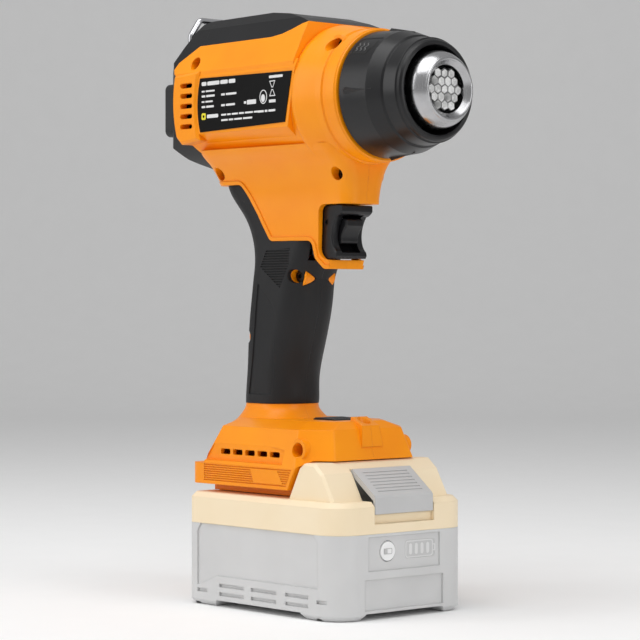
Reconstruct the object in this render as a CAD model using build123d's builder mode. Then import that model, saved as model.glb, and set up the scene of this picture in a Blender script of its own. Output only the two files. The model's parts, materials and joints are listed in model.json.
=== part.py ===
from build123d import *
import os

os.makedirs("parts", exist_ok=True)

# Frame: millimetres, +X out of the nozzle, +Y to the tool's left, +Z up,
# origin in the middle of the battery pack's underside.

# ---------------------------------------------------------------- driving dimensions
# battery pack
pack_length = 102.0
pack_width = 78.0
pack_seam_z = 36.3        # lower case meets upper case
deck_z = 50.0             # flat deck on each side of the rails
hump_z = 66.0             # top of the hump that holds the release button
wall = 2.2                # every moulded wall
foot_lift = 2.6           # the pack stands on its four corners
cell_radius = 9.1
cell_length = 65.0

# rail between tool and pack
rail_half = 26.0          # widest part of the shoe
waist_half = 23.4         # shoe where the pack's rails reach in
slide_gap = 0.4
channel_floor_z = 43.2

# tool body
axis_z = 224.7            # height of the air path's axis
body_half = 30.5          # half width of the barrel part
shell = 2.4
grip_bottom_z = 89.5

# air path
bell_radius = 32.2
collar_radius = 27.5
nozzle_radius = 16.6
outlet_radius = 10.3
nose_x = 38.4             # where the collar meets the body
tip_x = 79.0

# screws
screw_head = 2.6
screw_head_height = 2.0
screw_shank = 1.45
screw_reach = 7.0         # how far the shanks go into the left half
screw_spots = [
    # x, z, depth of the head below y = 0, radius of its hole, reach of the boss to the left
    (-57.5, 243.6, 23.0, 3.0, 26.5),
    (27.6, 246.0, 15.0, 3.0, 17.5),
    (21.6, 191.0, 9.5, 2.9, 11.0),
    (-53.6, 193.6, 12.5, 2.9, 15.0),
    (-7.4, 146.6, 9.0, 3.1, 8.0),
    (-38.0, 119.5, 8.0, 2.9, 9.0),
    (17.4, 71.2, 25.0, 3.1, 31.5),
]


# ---------------------------------------------------------------- outlines and forms
def side_prism(points, half, radius=0.0):
    """Block with the given x, z outline, reaching half to each side of y = 0."""
    with BuildPart() as prism:
        with BuildSketch(Plane.XZ):
            with BuildLine():
                Polyline(*points, close=True)
            make_face()
            if radius:
                fillet(vertices(), radius)
        extrude(amount=half, both=True)
    return prism.part


def plan_prism(points, low, high, radius=0.0):
    """Block with the given x, y outline, from low to high."""
    with BuildPart() as prism:
        with BuildSketch(Plane.XY.offset(low)):
            with BuildLine():
                Polyline(*points, close=True)
            make_face()
            if radius:
                fillet(vertices(), radius)
        extrude(amount=high - low)
    return prism.part


def side_rod(x, z, radius, y_from, y_to):
    """Rod along Y."""
    with BuildPart() as rod:
        with BuildSketch(Plane.XZ.offset(-y_from)):
            with Locations((x, z)):
                Circle(radius)
        extrude(amount=y_from - y_to)
    return rod.part


def axis_turned(points):
    """Solid of revolution about the air path's axis, from x, radius pairs."""
    with BuildPart() as turned:
        with BuildSketch(Plane.XZ):
            with BuildLine():
                Polyline(*[(x, axis_z + r) for x, r in points], close=True)
            make_face()
        revolve(axis=Axis((0, 0, axis_z), (1, 0, 0)))
    return turned.part


def axis_tube(x_from, x_to, outer, inner):
    return axis_turned([(x_from, inner), (x_from, outer), (x_to, outer), (x_to, inner)])


def half_space(side):
    """Everything on one side of the seam y = 0; side is -1 for right, +1 for left."""
    with BuildPart() as half:
        with BuildSketch(Plane.XZ):
            with Locations((0, 140)):
                Rectangle(400, 400)
        extrude(amount=-side * 80)
    return half.part


def stacked(sections):
    """Loft through horizontal sections: z, rear x, rear half width, front x, front half width,
    rear corner radius, front corner radius."""
    with BuildPart() as stack:
        for z, rear, rear_half, front, front_half, rear_round, front_round in sections:
            with BuildSketch(Plane.XY.offset(z)) as section:
                with BuildLine():
                    Polyline((rear, -rear_half), (front, -front_half), (front, front_half),
                             (rear, rear_half), close=True)
                make_face()
                fillet(section.vertices().group_by(Axis.X)[-1], front_round)
                fillet(section.vertices().group_by(Axis.X)[0], rear_round)
        loft()
    return stack.part


# ---------------------------------------------------------------- forms shared by several pieces
body_profile = [            # side outline of the barrel part, x and z
    (-56, 188), (-66, 197), (-74, 201), (-80, 207), (-80, 241), (-75.5, 243.5), (-69.5, 255),
    (-65, 263), (-60, 264), (-17, 264.2), (-4, 262.6), (6.5, 259.8), (13, 257.4), (13, 188),
]
body_plan = [
    (13, -33), (-68, -33), (-70.5, -30.5), (-80, -24), (-80, 24), (-70.5, 30.5), (-68, 33), (13, 33),
]


def body_section(inset):
    """Upright section of the barrel part: round below, sloping shoulders and a flat top."""
    r = body_half - inset
    with BuildSketch(Plane.YZ.offset(-82)) as section:
        with BuildLine():
            bottom = ThreePointArc((-r, axis_z), (0, axis_z - r), (r, axis_z))
            Polyline(bottom @ 1, (r, 239.5), (24.5 - inset, 252 - inset / 2), (20 - inset, 260 - inset),
                     (16 - inset, 264.4 - inset), (-16 + inset, 264.4 - inset), (-20 + inset, 260 - inset),
                     (-24.5 + inset, 252 - inset / 2), (-r, 239.5), bottom @ 0)
        make_face()
    return section.sketch


with BuildPart() as body_form:
    extrude(body_section(0), amount=95, dir=(1, 0, 0))
    add(side_prism(body_profile, 40), mode=Mode.INTERSECT)
    add(plan_prism(body_plan, 180, 270), mode=Mode.INTERSECT)

cavity_profile = [
    (-56, 190), (-65, 199.8), (-73, 203.6), (-77.4, 208.5), (-77.4, 239), (-73.6, 241.8), (-67.4, 254),
    (-63.6, 261), (-17, 261.8), (-4, 260.2), (10, 256), (10, 190),
]
cavity_plan = [
    (11, -31), (-67, -31), (-69, -28.5), (-77.4, -22.6), (-77.4, 22.6), (-69, 28.5), (-67, 31), (11, 31),
]

with BuildPart() as body_cavity:
    extrude(body_section(shell), amount=95, dir=(1, 0, 0))
    add(side_prism(cavity_profile, 40), mode=Mode.INTERSECT)
    add(plan_prism(cavity_plan, 180, 270), mode=Mode.INTERSECT)

bell = axis_turned([
    (4, 0), (4, 26), (10.5, 29.6), (13.5, 31.9), (14.5, bell_radius), (16, 32.1), (21, 31.1), (26.5, 29.9),
    (29.6, 29.5), (30.0, 28.8), (32.2, 28.7), (32.6, 29.2), (37.3, 29.0), (37.6, 28.5), (38.2, 28.3), (38.2, 0),
])
bell_cavity = axis_turned([
    (2, 0), (2, 26.6), (26, 26.6), (29, 26.0), (39, 26.0), (39, 0),
])

# pads that carry the rating plates, and the vent frames behind them
pad_y = 30.8
with BuildPart() as plate_pads:
    with BuildSketch(Plane.YZ.offset(-56)):
        with BuildLine():
            Polyline((-pad_y, 211.2), (-pad_y, 237), (-29.2, 240.6), (29.2, 240.6), (pad_y, 237),
                     (pad_y, 211.2), (24.4, 207), (-24.4, 207), close=True)
        make_face()
    extrude(amount=72)
    add(side_prism([(-60, 200), (7, 200), (9.5, 211.2), (14.4, 237), (14.8, 245), (-60, 245)], 40),
        mode=Mode.INTERSECT)

vent_pitch = 4.65
with BuildPart() as vent_pads:
    with BuildSketch(Plane.XZ):
        with BuildLine():
            front_bow = ThreePointArc((-51.4, 239.6), (-53.6, 224.7), (-51.4, 208.4))
            lower = Line(front_bow @ 1, (-64.5, 207.0))
            corner = Line(lower @ 1, (-68.2, 210.2))
            rear_bow = ThreePointArc(corner @ 1, (-70.8, 224.7), (-69.4, 238.6))
            Line(rear_bow @ 1, front_bow @ 0)
        make_face()
    extrude(amount=31.9, both=True)
    chamfer(vent_pads.faces().sort_by(Axis.Y)[0].edges(), 1.1)
    chamfer(vent_pads.faces().sort_by(Axis.Y)[-1].edges(), 1.1)

with BuildPart() as vent_slots:
    with BuildSketch(Plane.XZ):
        with GridLocations(0, vent_pitch, 1, 5):
            with Locations((-60.2, axis_z - 0.4)):
                SlotCenterToCenter(6.6, 2.2)
    extrude(amount=40, both=True)

# regions of the barrel part taken by the two black covers
with BuildPart() as rear_region:
    with BuildSketch(Plane.XZ):
        with BuildLine():
            upper = Polyline((-57, 275), (-57, 252), (-59, 252), (-70.4, 245), (-72.6, 241), (-69.4, 238.6))
            bow = ThreePointArc(upper @ 1, (-70.8, 224.7), (-68.2, 210.2))
            Polyline(bow @ 1, (-64.5, 207), (-60.5, 202), (-57.5, 194.5), (-57.5, 180), (-95, 180), (-95, 275),
                     (-57, 275))
        make_face()
    extrude(amount=45, both=True)

top_region = side_prism(
    [(-57, 252), (-9, 252), (-2, 252.9), (4, 254.7), (9, 256.6), (20, 259), (20, 275), (-57, 275)], 45)

# the handle: orange upper part, and the slimmer form of its rubber
upper_sections = [
    (149.4, -44, 15.4, 16.0, 9.6, 7.0, 5.5),
    (156, -42, 15.2, 22.0, 10.2, 7.0, 5.5),
    (166, -42, 15.0, 26.0, 10.6, 7.0, 6.0),
    (178.4, -47, 14.8, 26.7, 11.0, 7.0, 7.0),
    (186, -57, 15.0, 27.5, 11.6, 7.0, 7.0),
    (192, -61, 17.0, 28.1, 13.4, 8.0, 7.2),
    (198, -62, 21.5, 28.5, 17.6, 9.0, 7.4),
    (204, -62, 27.5, 28.6, 23.0, 10.0, 7.6),
]


def upper_shape(outset):
    return stacked([
        (z, rear - outset, rear_half + outset, front + outset, front_half + outset,
         rear_round + outset, front_round + outset)
        for z, rear, rear_half, front, front_half, rear_round, front_round in upper_sections
    ])


upper_form = upper_shape(0)

grip_sections = [
    (grip_bottom_z, -46.2, 15.0, -13.8, 15.0, 13.0, 13.0),
    (97, -45.9, 14.9, -13.4, 14.9, 13.0, 13.0),
    (104, -45.3, 14.9, -12.7, 14.9, 13.0, 13.0),
    (114, -45.0, 15.0, -10.0, 15.0, 13.0, 13.0),
    (124.5, -44.7, 15.2, -6.9, 15.0, 13.0, 13.0),
    (135, -43.5, 15.3, -4.4, 14.9, 13.0, 13.0),
    (146, -41.8, 15.1, -2.6, 14.4, 13.0, 12.5),
    (156, -40.4, 14.7, 2.0, 13.4, 12.6, 11.5),
    (166, -42.8, 14.2, 4.0, 13.0, 12.0, 11.0),
    (172, -46.2, 14.0, 5.0, 12.8, 11.8, 11.0),
    (178, -51.4, 13.9, 6.0, 12.6, 11.6, 11.0),
    (184, -57.0, 13.9, 6.0, 12.6, 11.6, 11.0),
    (190, -59.6, 14.2, 6.0, 12.8, 11.6, 11.0),
]


def grip_shape(inset):
    """The whole grip with its beaver tail, each section drawn in by inset."""
    return stacked([
        (z, rear + inset, rear_half - inset, front - inset, front_half - inset,
         rear_round - inset, front_round - inset)
        for z, rear, rear_half, front, front_half, rear_round, front_round in grip_sections
    ])


rubber_thickness = 2.0
grip_form = grip_shape(0)
grip_core = grip_shape(rubber_thickness)
grip_cavity = grip_shape(rubber_thickness + shell)

# the line where rubber meets orange, as a side outline of everything below and behind it
rubber_edge = [(-75, 188.4), (-41.5, 188.4), (-30, 174.6), (-22, 162.4), (4.2, 162.2), (6.0, 154.2),
               (10.5, 149.6), (34, 149.6), (34, 70), (-75, 70)]
lip_width = 1.7
lip_proud = 0.6


with BuildSketch(Plane.XZ) as rubber_face:
    with BuildLine():
        FilletPolyline(*rubber_edge, radius=3.4, close=True)
    make_face()

with BuildSketch(Plane.XZ) as lip_face:
    add(rubber_face.sketch)
    offset(amount=lip_width, kind=Kind.ARC)
    add(rubber_face.sketch, mode=Mode.SUBTRACT)

with BuildPart() as rubber_region:
    extrude(rubber_face.sketch, amount=30, dir=(0, 1, 0), both=True)

with BuildPart() as lip_band:
    extrude(lip_face.sketch, amount=30, dir=(0, 1, 0), both=True)

# trigger opening in the front of the handle
opening_top = 178.0
opening_bottom = 153.6
trigger_half = 9.0
with BuildPart() as trigger_opening:
    with BuildSketch(Plane.XZ) as opening_face:
        with BuildLine():
            Polyline((7.6, opening_bottom), (40, opening_bottom), (40, opening_top), (8.6, opening_top),
                     close=True)
        make_face()
        fillet(opening_face.vertices().sort_by(Axis.X)[0], 5.5)
        fillet(opening_face.vertices().sort_by(Axis.X)[1], 3.5)
    extrude(amount=30, both=True)

lip_front = side_prism([(-80, 140), (13.6, 140), (13.6, 156), (29, 178), (29, 215), (-80, 215)], 40)

# foot
foot_floor = 53.6
foot_rear = -54.4
foot_half = 34.5
foot_plan = [(foot_rear, -foot_half), (18, -foot_half), (33, -24), (33, 24), (18, foot_half),
             (foot_rear, foot_half)]
foot_mid_plan = [(-53, -20), (-45, -34.4), (18, -34.4), (33, -24), (33, 24), (18, 34.4), (-45, 34.4),
                 (-53, 20)]
foot_crease_plan = [(-50, -14), (-36, -30), (16, -30), (27.6, -20), (27.6, 20), (16, 30), (-36, 30),
                    (-50, 14)]
foot_roof_plan = [(-46, -12), (-33, -21), (12, -21), (24, -13), (24, 13), (12, 21), (-33, 21),
                  (-46, 12)]
foot_side = [(-56, foot_floor), (13.5, foot_floor), (18.7, 63.6), (24, 66.5), (33, 66.5), (33, 70.8),
             (26.6, 83), (-60, 83)]
foot_steps = [   # lower height, its plan, upper height, its plan, corner radius
    (foot_floor, foot_plan, 62.9, foot_plan, 6.0),
    (62.9, foot_mid_plan, 79.7, foot_crease_plan, 1.6),
    (79.7, foot_crease_plan, 83.0, foot_roof_plan, 1.6),
]


def foot_shape(inset):
    """The foot's block: upright below, drawn in above it, with a low roof; inset on every side."""
    with BuildPart() as block:
        for low, low_plan, high, high_plan, corner in foot_steps:
            for z, plan in ((low, low_plan), (high, high_plan)):
                with BuildSketch(Plane.XY.offset(z - inset * (z > 60))):
                    with BuildLine():
                        Polyline(*plan, close=True)
                    make_face()
                    if inset:
                        offset(amount=-inset, kind=Kind.INTERSECTION)
                    fillet(vertices(), corner)
            loft(ruled=True)
    return block.part


with BuildPart() as foot_form:
    add(foot_shape(0))
    add(side_prism(foot_side, 40), mode=Mode.INTERSECT)

foot_cavity_side = [(-50, 56), (11.4, 56), (16.8, 66.2), (23, 69), (31, 69), (31, 70.2), (25.4, 80.4),
                    (-50, 80.4)]
with BuildPart() as foot_cavity:
    add(foot_shape(shell))
    add(side_prism(foot_cavity_side, 40), mode=Mode.INTERSECT)

neck_form = stacked([
    (79, -50.5, 23.5, -4.0, 23.5, 18.0, 18.0),
    (81.5, -48.8, 20.6, -9.0, 20.6, 16.5, 16.5),
    (84.5, -47.4, 17.6, -12.0, 17.6, 14.8, 14.8),
    (87.5, -46.3, 15.3, -13.8, 15.3, 13.2, 13.2),
    (grip_bottom_z, -46.0, 14.8, -14.0, 14.8, 12.8, 12.8),
])

lamp_x = 25.6
with BuildPart() as lamp_boss:
    with BuildSketch(Plane.XY.offset(72)):
        with Locations((lamp_x, 0)):
            Rectangle(10, 12.4)
    with BuildSketch(Plane.XY.offset(85.4)):
        with Locations((lamp_x - 0.4, 0)):
            Rectangle(7.4, 8.8)
    loft(ruled=True)
    add(side_prism([(15, 70), (32, 70), (32, 80.6), (28.9, 81.4), (22, 84.8), (15, 84.8)], 20),
        mode=Mode.INTERSECT)

with BuildPart() as lamp_funnel:
    with BuildSketch(Plane.XY.offset(78.6)):
        with Locations((lamp_x - 0.2, 0)):
            Circle(1.9)
    with BuildSketch(Plane.XY.offset(85.6)):
        with Locations((lamp_x - 0.4, 0)):
            Circle(3.4)
    loft(ruled=True)
    with BuildSketch(Plane.XY.offset(70)):
        with Locations((lamp_x - 0.2, 0)):
            Circle(1.9)
    extrude(amount=9)

# ribbed panel low on each side of the foot
rib_pitch = 0.98
rib_depth = 0.55
with BuildPart() as panel_ribs:
    for index in range(8):
        with Locations((-13, 0, 55.4 + index * rib_pitch)):
            Box(62, 2 * foot_half + 2, 0.42)
    add(side_prism([(-44, 50), (-44, 65), (17.4, 65), (11.6, 53), (-8, 53), (-9.4, 55)], 40),
        mode=Mode.INTERSECT)
    add(side_prism([(-11.5, 61.7), (6.6, 61.9), (10.2, 56.1), (-9.2, 55.9)], 40), mode=Mode.SUBTRACT)
    Box(200, 2 * (foot_half - rib_depth), 200, mode=Mode.SUBTRACT)

# recess above the ribbed panel, with its row of slots
with BuildPart() as foot_recess:
    add(side_prism([(-38.5, 72.4), (-6.9, 72.6), (9.4, 70.6), (9.4, 64.3), (-45.5, 64.3)], 40))
    Box(200, 2 * 32.0, 200, mode=Mode.SUBTRACT)

with BuildPart() as foot_slots:
    with BuildSketch(Plane.XZ):
        with GridLocations(8.5, 0, 5, 1):
            with Locations((-14.6, 68.4)):
                RectangleRounded(6.6, 2.4, 0.7)
    extrude(amount=40, both=True)


# handle cavity: the bay for the switch, down through the grip into the foot
handle_wall = rubber_thickness + shell
with BuildPart() as handle_cavity:
    add(upper_shape(-handle_wall))
    add(side_prism([(-70, 156.4), (3.4, 156.4), (3.4, 180.6), (24, 180.6), (24, 206), (-70, 206)], 40),
        mode=Mode.INTERSECT)
    add(grip_cavity)
    with BuildSketch(Plane.XY.offset(74)):
        with Locations((-30, 0)):
            RectangleRounded(22, 20, 7)
    extrude(amount=17)

trigger_slot_half = trigger_half + 0.4
with BuildPart() as trigger_slot:
    with Locations((0, 0, (opening_bottom + opening_top) / 2)):
        Box(34, 2 * trigger_slot_half, opening_top - opening_bottom)

with BuildPart() as screw_bosses:
    for x, z, depth, hole, reach in screw_spots:
        add(side_rod(x, z, hole + 1.5, -max(depth, reach), reach))

with BuildPart() as screw_holes:
    for x, z, depth, hole, reach in screw_spots:
        add(side_rod(x, z, hole, -50, -depth + screw_head_height))
        add(side_rod(x, z, screw_shank + 0.15, -depth, screw_reach + 0.6))

# opening in the top of the foot for the black insert, and under it the bay of the terminal block
insert_x = (0.4, 15.4)
insert_half = 8.0

# orange housing, before it is parted into its two halves
with BuildPart() as housing_form:
    add(body_form.part)
    add(rear_region.part, mode=Mode.SUBTRACT)
    add(top_region, mode=Mode.SUBTRACT)
    add(plate_pads.part)
    add(vent_pads.part)
    add(bell)
with BuildPart() as handle_form:
    add(upper_form)
    add(lip_front, mode=Mode.INTERSECT)
    add(rubber_region.part, mode=Mode.SUBTRACT)
with BuildPart() as lip_form:
    add(upper_shape(lip_proud))
    add(lip_band.part, mode=Mode.INTERSECT)
    add(lip_front, mode=Mode.INTERSECT)
    add(side_prism([(-52, 149), (-52, 187), (-70, 187), (-70, 192), (12, 192), (30, 149.0)], 40),
        mode=Mode.INTERSECT)
with BuildPart() as foot_outside:
    add(neck_form)
    add(foot_form.part)
    add(lamp_boss.part)

# openings in the foot: black insert in the roof, blades of the terminal block in the floor
with BuildPart() as foot_openings:
    with Locations(((insert_x[0] + insert_x[1]) / 2, 0, 82)):
        Box(insert_x[1] - insert_x[0], 2 * insert_half, 8)
    with Locations((-14, 0, foot_floor)):
        Box(26, 34, 8)
    add(lamp_funnel.part)

with BuildPart() as housing_solid:
    add(housing_form.part)
    add(handle_form.part)
    add(lip_form.part)
    add(grip_core)
    add(foot_outside.part)
    add(body_cavity.part, mode=Mode.SUBTRACT)
    add(bell_cavity, mode=Mode.SUBTRACT)
    add(handle_cavity.part, mode=Mode.SUBTRACT)
    add(foot_cavity.part, mode=Mode.SUBTRACT)
    add(screw_bosses.part)
    add(screw_holes.part, mode=Mode.SUBTRACT)
    add(trigger_opening.part, mode=Mode.SUBTRACT)
    add(trigger_slot.part, mode=Mode.SUBTRACT)
    add(vent_slots.part, mode=Mode.SUBTRACT)
    add(panel_ribs.part, mode=Mode.SUBTRACT)
    add(foot_recess.part, mode=Mode.SUBTRACT)
    add(foot_slots.part, mode=Mode.SUBTRACT)
    add(foot_openings.part, mode=Mode.SUBTRACT)

with BuildPart() as housing_right:
    add(housing_solid.part)
    add(half_space(-1), mode=Mode.INTERSECT)
housing_right.part.label = "housing_right"
export_step(housing_right.part, "parts/housing_right.step")

with BuildPart() as housing_left:
    add(housing_solid.part)
    add(half_space(1), mode=Mode.INTERSECT)
housing_left.part.label = "housing_left"
export_step(housing_left.part, "parts/housing_left.step")

# ---------------------------------------------------------------- black covers of the body
bail_x = -77.0
bail_z = 247.4
bail_half = 15.6          # centre of each leg from y = 0
wire_radius = 1.5
bump_z = (212.0, 236.5)
bump_half = 24.0
bump_x = -80.0

with BuildPart() as top_cover:
    add(body_form.part)
    add(top_region, mode=Mode.INTERSECT)
    add(body_cavity.part, mode=Mode.SUBTRACT)
    add(bell, mode=Mode.SUBTRACT)
top_cover.part.label = "top_cover"
export_step(top_cover.part, "parts/top_cover.step")

with BuildPart() as rear_cover:
    add(body_form.part)
    add(rear_region.part, mode=Mode.INTERSECT)
    add(vent_pads.part, mode=Mode.SUBTRACT)
    add(upper_form, mode=Mode.SUBTRACT)
    add(body_cavity.part, mode=Mode.SUBTRACT)
    # ears that hold the hanging bail
    add(side_prism([(-69, 254), (-73, 251.6), (-79.6, 248.6), (-79.6, 244.4), (-78, 240.4), (-70, 240.4)],
                   12.0))
    add(body_cavity.part, mode=Mode.SUBTRACT)
    add(side_rod(bail_x, bail_z, wire_radius + 0.06, -40, -9), mode=Mode.SUBTRACT)
    add(side_rod(bail_x, bail_z, wire_radius + 0.06, 9, 40), mode=Mode.SUBTRACT)
rear_cover.part.label = "rear_cover"
export_step(rear_cover.part, "parts/rear_cover.step")

# hanging bail: a bent wire whose turned-in ends lie in the ears
bail_top = 266.4
with BuildPart() as hanging_bail:
    with BuildLine():
        bail_path = FilletPolyline(
            (bail_x, 9.4, bail_z), (bail_x, bail_half, bail_z), (bail_x, bail_half, 259), (bail_x, 10.5, bail_top),
            (bail_x, -10.5, bail_top), (bail_x, -bail_half, 259), (bail_x, -bail_half, bail_z),
            (bail_x, -9.4, bail_z), radius=3.0)
    with BuildSketch(Plane(origin=bail_path @ 0, z_dir=bail_path % 0)):
        Circle(wire_radius)
    sweep()
hanging_bail.part.label = "hanging_bail"
export_step(hanging_bail.part, "parts/hanging_bail.step")

# ---------------------------------------------------------------- soft grip
rib_gap = 1.15
with BuildPart() as grip_skin:
    add(grip_form)
    add(grip_shape(0.45), mode=Mode.SUBTRACT)

with BuildPart() as grip_texture:
    for index in range(18):
        with Locations((0, 0, 139.5 + index * rib_gap)):
            Box(100, 60, 0.6)
    add(side_prism([(-24.6, 158.4), (-9, 159.0), (-9.6, 151.6), (-14.6, 141.4), (-28.2, 150.8)], 40),
        mode=Mode.INTERSECT)
    add(grip_skin.part, mode=Mode.INTERSECT)

# long shallow panel in the rear half of each side
with BuildPart() as grip_panel:
    add(side_prism([(-29.5, 143.5), (-18.5, 133.0), (-19.5, 110), (-21.6, 93.6), (-36.5, 93.6), (-33.5, 110),
                    (-31.2, 128)], 40))
    add(grip_skin.part, mode=Mode.INTERSECT)

# leaf-shaped windows that show the orange core, each side of the black spine
with BuildPart() as spine_windows:
    with BuildSketch(Plane.XZ):
        with BuildLine():
            leaf = Spline((-35.6, 156.5), (-33.8, 146), (-34.6, 136), (-36.6, 122.5), (-38.9, 107), (-41.5, 95))
            Polyline(leaf @ 1, (-55, 95), (-55, 156.5), leaf @ 0)
        make_face()
    extrude(amount=30, both=True)
    Box(200, 12, 400, mode=Mode.SUBTRACT)

with BuildPart() as rubber_solid:
    add(grip_form)
    add(rubber_region.part, mode=Mode.INTERSECT)
    add(grip_core, mode=Mode.SUBTRACT)
    add(handle_form.part, mode=Mode.SUBTRACT)
    add(lip_form.part, mode=Mode.SUBTRACT)
    add(spine_windows.part, mode=Mode.SUBTRACT)
    add(grip_texture.part, mode=Mode.SUBTRACT)
    add(grip_panel.part, mode=Mode.SUBTRACT)
    add(trigger_slot.part, mode=Mode.SUBTRACT)
    add(screw_bosses.part, mode=Mode.SUBTRACT)
    for x, z, depth, hole, reach in screw_spots:
        add(side_rod(x, z, hole, -50, -depth + screw_head_height), mode=Mode.SUBTRACT)

with BuildPart() as grip_rubber_right:
    add(rubber_solid.part)
    add(half_space(-1), mode=Mode.INTERSECT)
grip_rubber_right.part.label = "grip_rubber_right"
export_step(grip_rubber_right.part, "parts/grip_rubber_right.step")

with BuildPart() as grip_rubber_left:
    add(rubber_solid.part)
    add(half_space(1), mode=Mode.INTERSECT)
grip_rubber_left.part.label = "grip_rubber_left"
export_step(grip_rubber_left.part, "parts/grip_rubber_left.step")

# ---------------------------------------------------------------- screws
with BuildPart() as housing_screws:
    for x, z, depth, hole, reach in screw_spots:
        add(side_rod(x, z, screw_head, -depth, -depth + screw_head_height))
        add(side_rod(x, z, 1.1, -depth - 0.1, -depth + 1.0), mode=Mode.SUBTRACT)
        add(side_rod(x, z, screw_shank, -depth + screw_head_height, screw_reach))
housing_screws.part.label = "housing_screws"
export_step(housing_screws.part, "parts/housing_screws.step")

# ---------------------------------------------------------------- rating plates
plate_thickness = 0.35


def rating_plate(side):
    """Thin black plate on a side pad, its ends bowed and slanted."""
    with BuildPart() as plate:
        with BuildSketch(Plane.XZ.offset(-side * pad_y)):
            with BuildLine():
                front = ThreePointArc((12.6, 235.2), (10.4, 225), (8.0, 213.3))
                low = Line(front @ 1, (-50.9, 211.9))
                rear = ThreePointArc(low @ 1, (-52.8, 224.7), (-50.9, 236.3))
                Line(rear @ 1, front @ 0)
            make_face()
        extrude(amount=-side * plate_thickness)
    return plate.part


with BuildPart() as rating_plate_right:
    add(rating_plate(-1))
rating_plate_right.part.label = "rating_plate_right"
export_step(rating_plate_right.part, "parts/rating_plate_right.step")

with BuildPart() as rating_plate_left:
    add(rating_plate(1))
rating_plate_left.part.label = "rating_plate_left"
export_step(rating_plate_left.part, "parts/rating_plate_left.step")

# ---------------------------------------------------------------- control panel on the back
panel_mid_z = sum(bump_z) / 2
panel_face_x = -87.0
window_half = (14.0, 5.4)        # half width and half height of the display
window_z = panel_mid_z + 4.6
button_z = panel_mid_z - 6.4
button_pitch = 14.0
button_half = (4.6, 2.8)
key_gap = 0.35

with BuildPart() as control_panel:
    with BuildSketch(Plane.YZ.offset(bump_x)):
        with Locations((0, panel_mid_z)):
            RectangleRounded(2 * bump_half, bump_z[1] - bump_z[0], 3.0)
    extrude(amount=panel_face_x - bump_x)
    chamfer(control_panel.faces().sort_by(Axis.X)[0].edges(), 1.2)
    with Locations((bump_x - 2.0, 0, panel_mid_z)):
        Box(6.0, 2 * bump_half - 4, bump_z[1] - bump_z[0] - 4, mode=Mode.SUBTRACT)
    with Locations((panel_face_x, 0, window_z)):
        Box(6, 2 * window_half[0], 2 * window_half[1], mode=Mode.SUBTRACT)
    for index in (-1, 0, 1):
        with Locations((panel_face_x, index * button_pitch, button_z)):
            Box(12, 2 * button_half[0] + 2 * key_gap, 2 * button_half[1] + 2 * key_gap, mode=Mode.SUBTRACT)
control_panel.part.label = "control_panel"
export_step(control_panel.part, "parts/control_panel.step")

with BuildPart() as display_window:
    with Locations((panel_face_x + 1.0, 0, window_z)):
        Box(1.2, 2 * window_half[0], 2 * window_half[1])
display_window.part.label = "display_window"
export_step(display_window.part, "parts/display_window.step")

with BuildPart() as display_module:
    with Locations((panel_face_x + 2.6, 0, window_z)):
        Box(1.8, 2 * window_half[0] - 1, 2 * window_half[1] - 1)
display_module.part.label = "display_module"
export_step(display_module.part, "parts/display_module.step")


def panel_button(offset_y):
    """Oblong key with a collar behind the panel face that keeps it from falling out."""
    with BuildPart() as key:
        with Locations((panel_face_x + 0.6, offset_y, button_z)):
            Box(3.6, 2 * button_half[0], 2 * button_half[1])
        fillet(key.edges().filter_by(Axis.X), 1.4)
        fillet(key.faces().sort_by(Axis.X)[0].edges(), 0.5)
        with Locations((panel_face_x + 3.6, offset_y, button_z)):
            Box(0.8, 2 * button_half[0] + 1.6, 2 * button_half[1] + 1.4)
        with Locations((panel_face_x + 3.0, offset_y, button_z)):
            Box(1.4, 2 * button_half[0] - 2, 2 * button_half[1] - 2)
    return key.part


with BuildPart() as button_up:
    add(panel_button(-button_pitch))
button_up.part.label = "button_up"
export_step(button_up.part, "parts/button_up.step")

with BuildPart() as button_mode:
    add(panel_button(0))
button_mode.part.label = "button_mode"
export_step(button_mode.part, "parts/button_mode.step")

with BuildPart() as button_down:
    add(panel_button(button_pitch))
button_down.part.label = "button_down"
export_step(button_down.part, "parts/button_down.step")

# ---------------------------------------------------------------- nose
flange_x = 33.0
spigot_radius = 22.0
with BuildPart() as nose_flange:
    add(axis_turned([(flange_x, 15.0), (flange_x, 25.8), (flange_x + 2.5, 25.8), (flange_x + 2.5, spigot_radius),
                     (46.5, spigot_radius), (46.5, 20.6), (flange_x + 2.5, 20.6), (flange_x + 2.5, 15.0)]))
nose_flange.part.label = "nose_flange"
export_step(nose_flange.part, "parts/nose_flange.step")

collar_start = nose_x + 0.4
collar_profile = [
    (collar_start, 22.5), (collar_start, 27.0), (collar_start + 0.5, collar_radius), (54.5, 26.4),
    (61.5, 24.1), (62.2, 23.3), (68.6, 22.5), (69.0, 21.9), (70.3, 21.6), (71.1, 20.9), (71.4, 20.0), (71.0, 19.2),
    (70.0, 18.9), (50.0, 18.7), (50.0, 20.0), (48.0, 20.0), (48.0, 22.5),
]


def collar_rib(angle):
    """Wedge-shaped rib that points forward along the collar."""
    with BuildPart() as rib:
        with BuildSketch(Plane.YZ.offset(42.6)):
            with BuildLine():
                Polyline((-25.6, axis_z - 3.4), (-28.6, axis_z), (-25.6, axis_z + 3.4), close=True)
            make_face()
        with BuildSketch(Plane.YZ.offset(57.4)):
            with BuildLine():
                Polyline((-25.0, axis_z - 0.4), (-25.9, axis_z), (-25.0, axis_z + 0.4), close=True)
            make_face()
        loft(ruled=True)
    return rib.part.rotate(Axis((0, 0, axis_z), (1, 0, 0)), angle)


with BuildPart() as nose_collar:
    add(axis_turned(collar_profile))
    for quarter in range(4):
        add(collar_rib(90 * quarter))
nose_collar.part.label = "nose_collar"
export_step(nose_collar.part, "parts/nose_collar.step")

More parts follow.
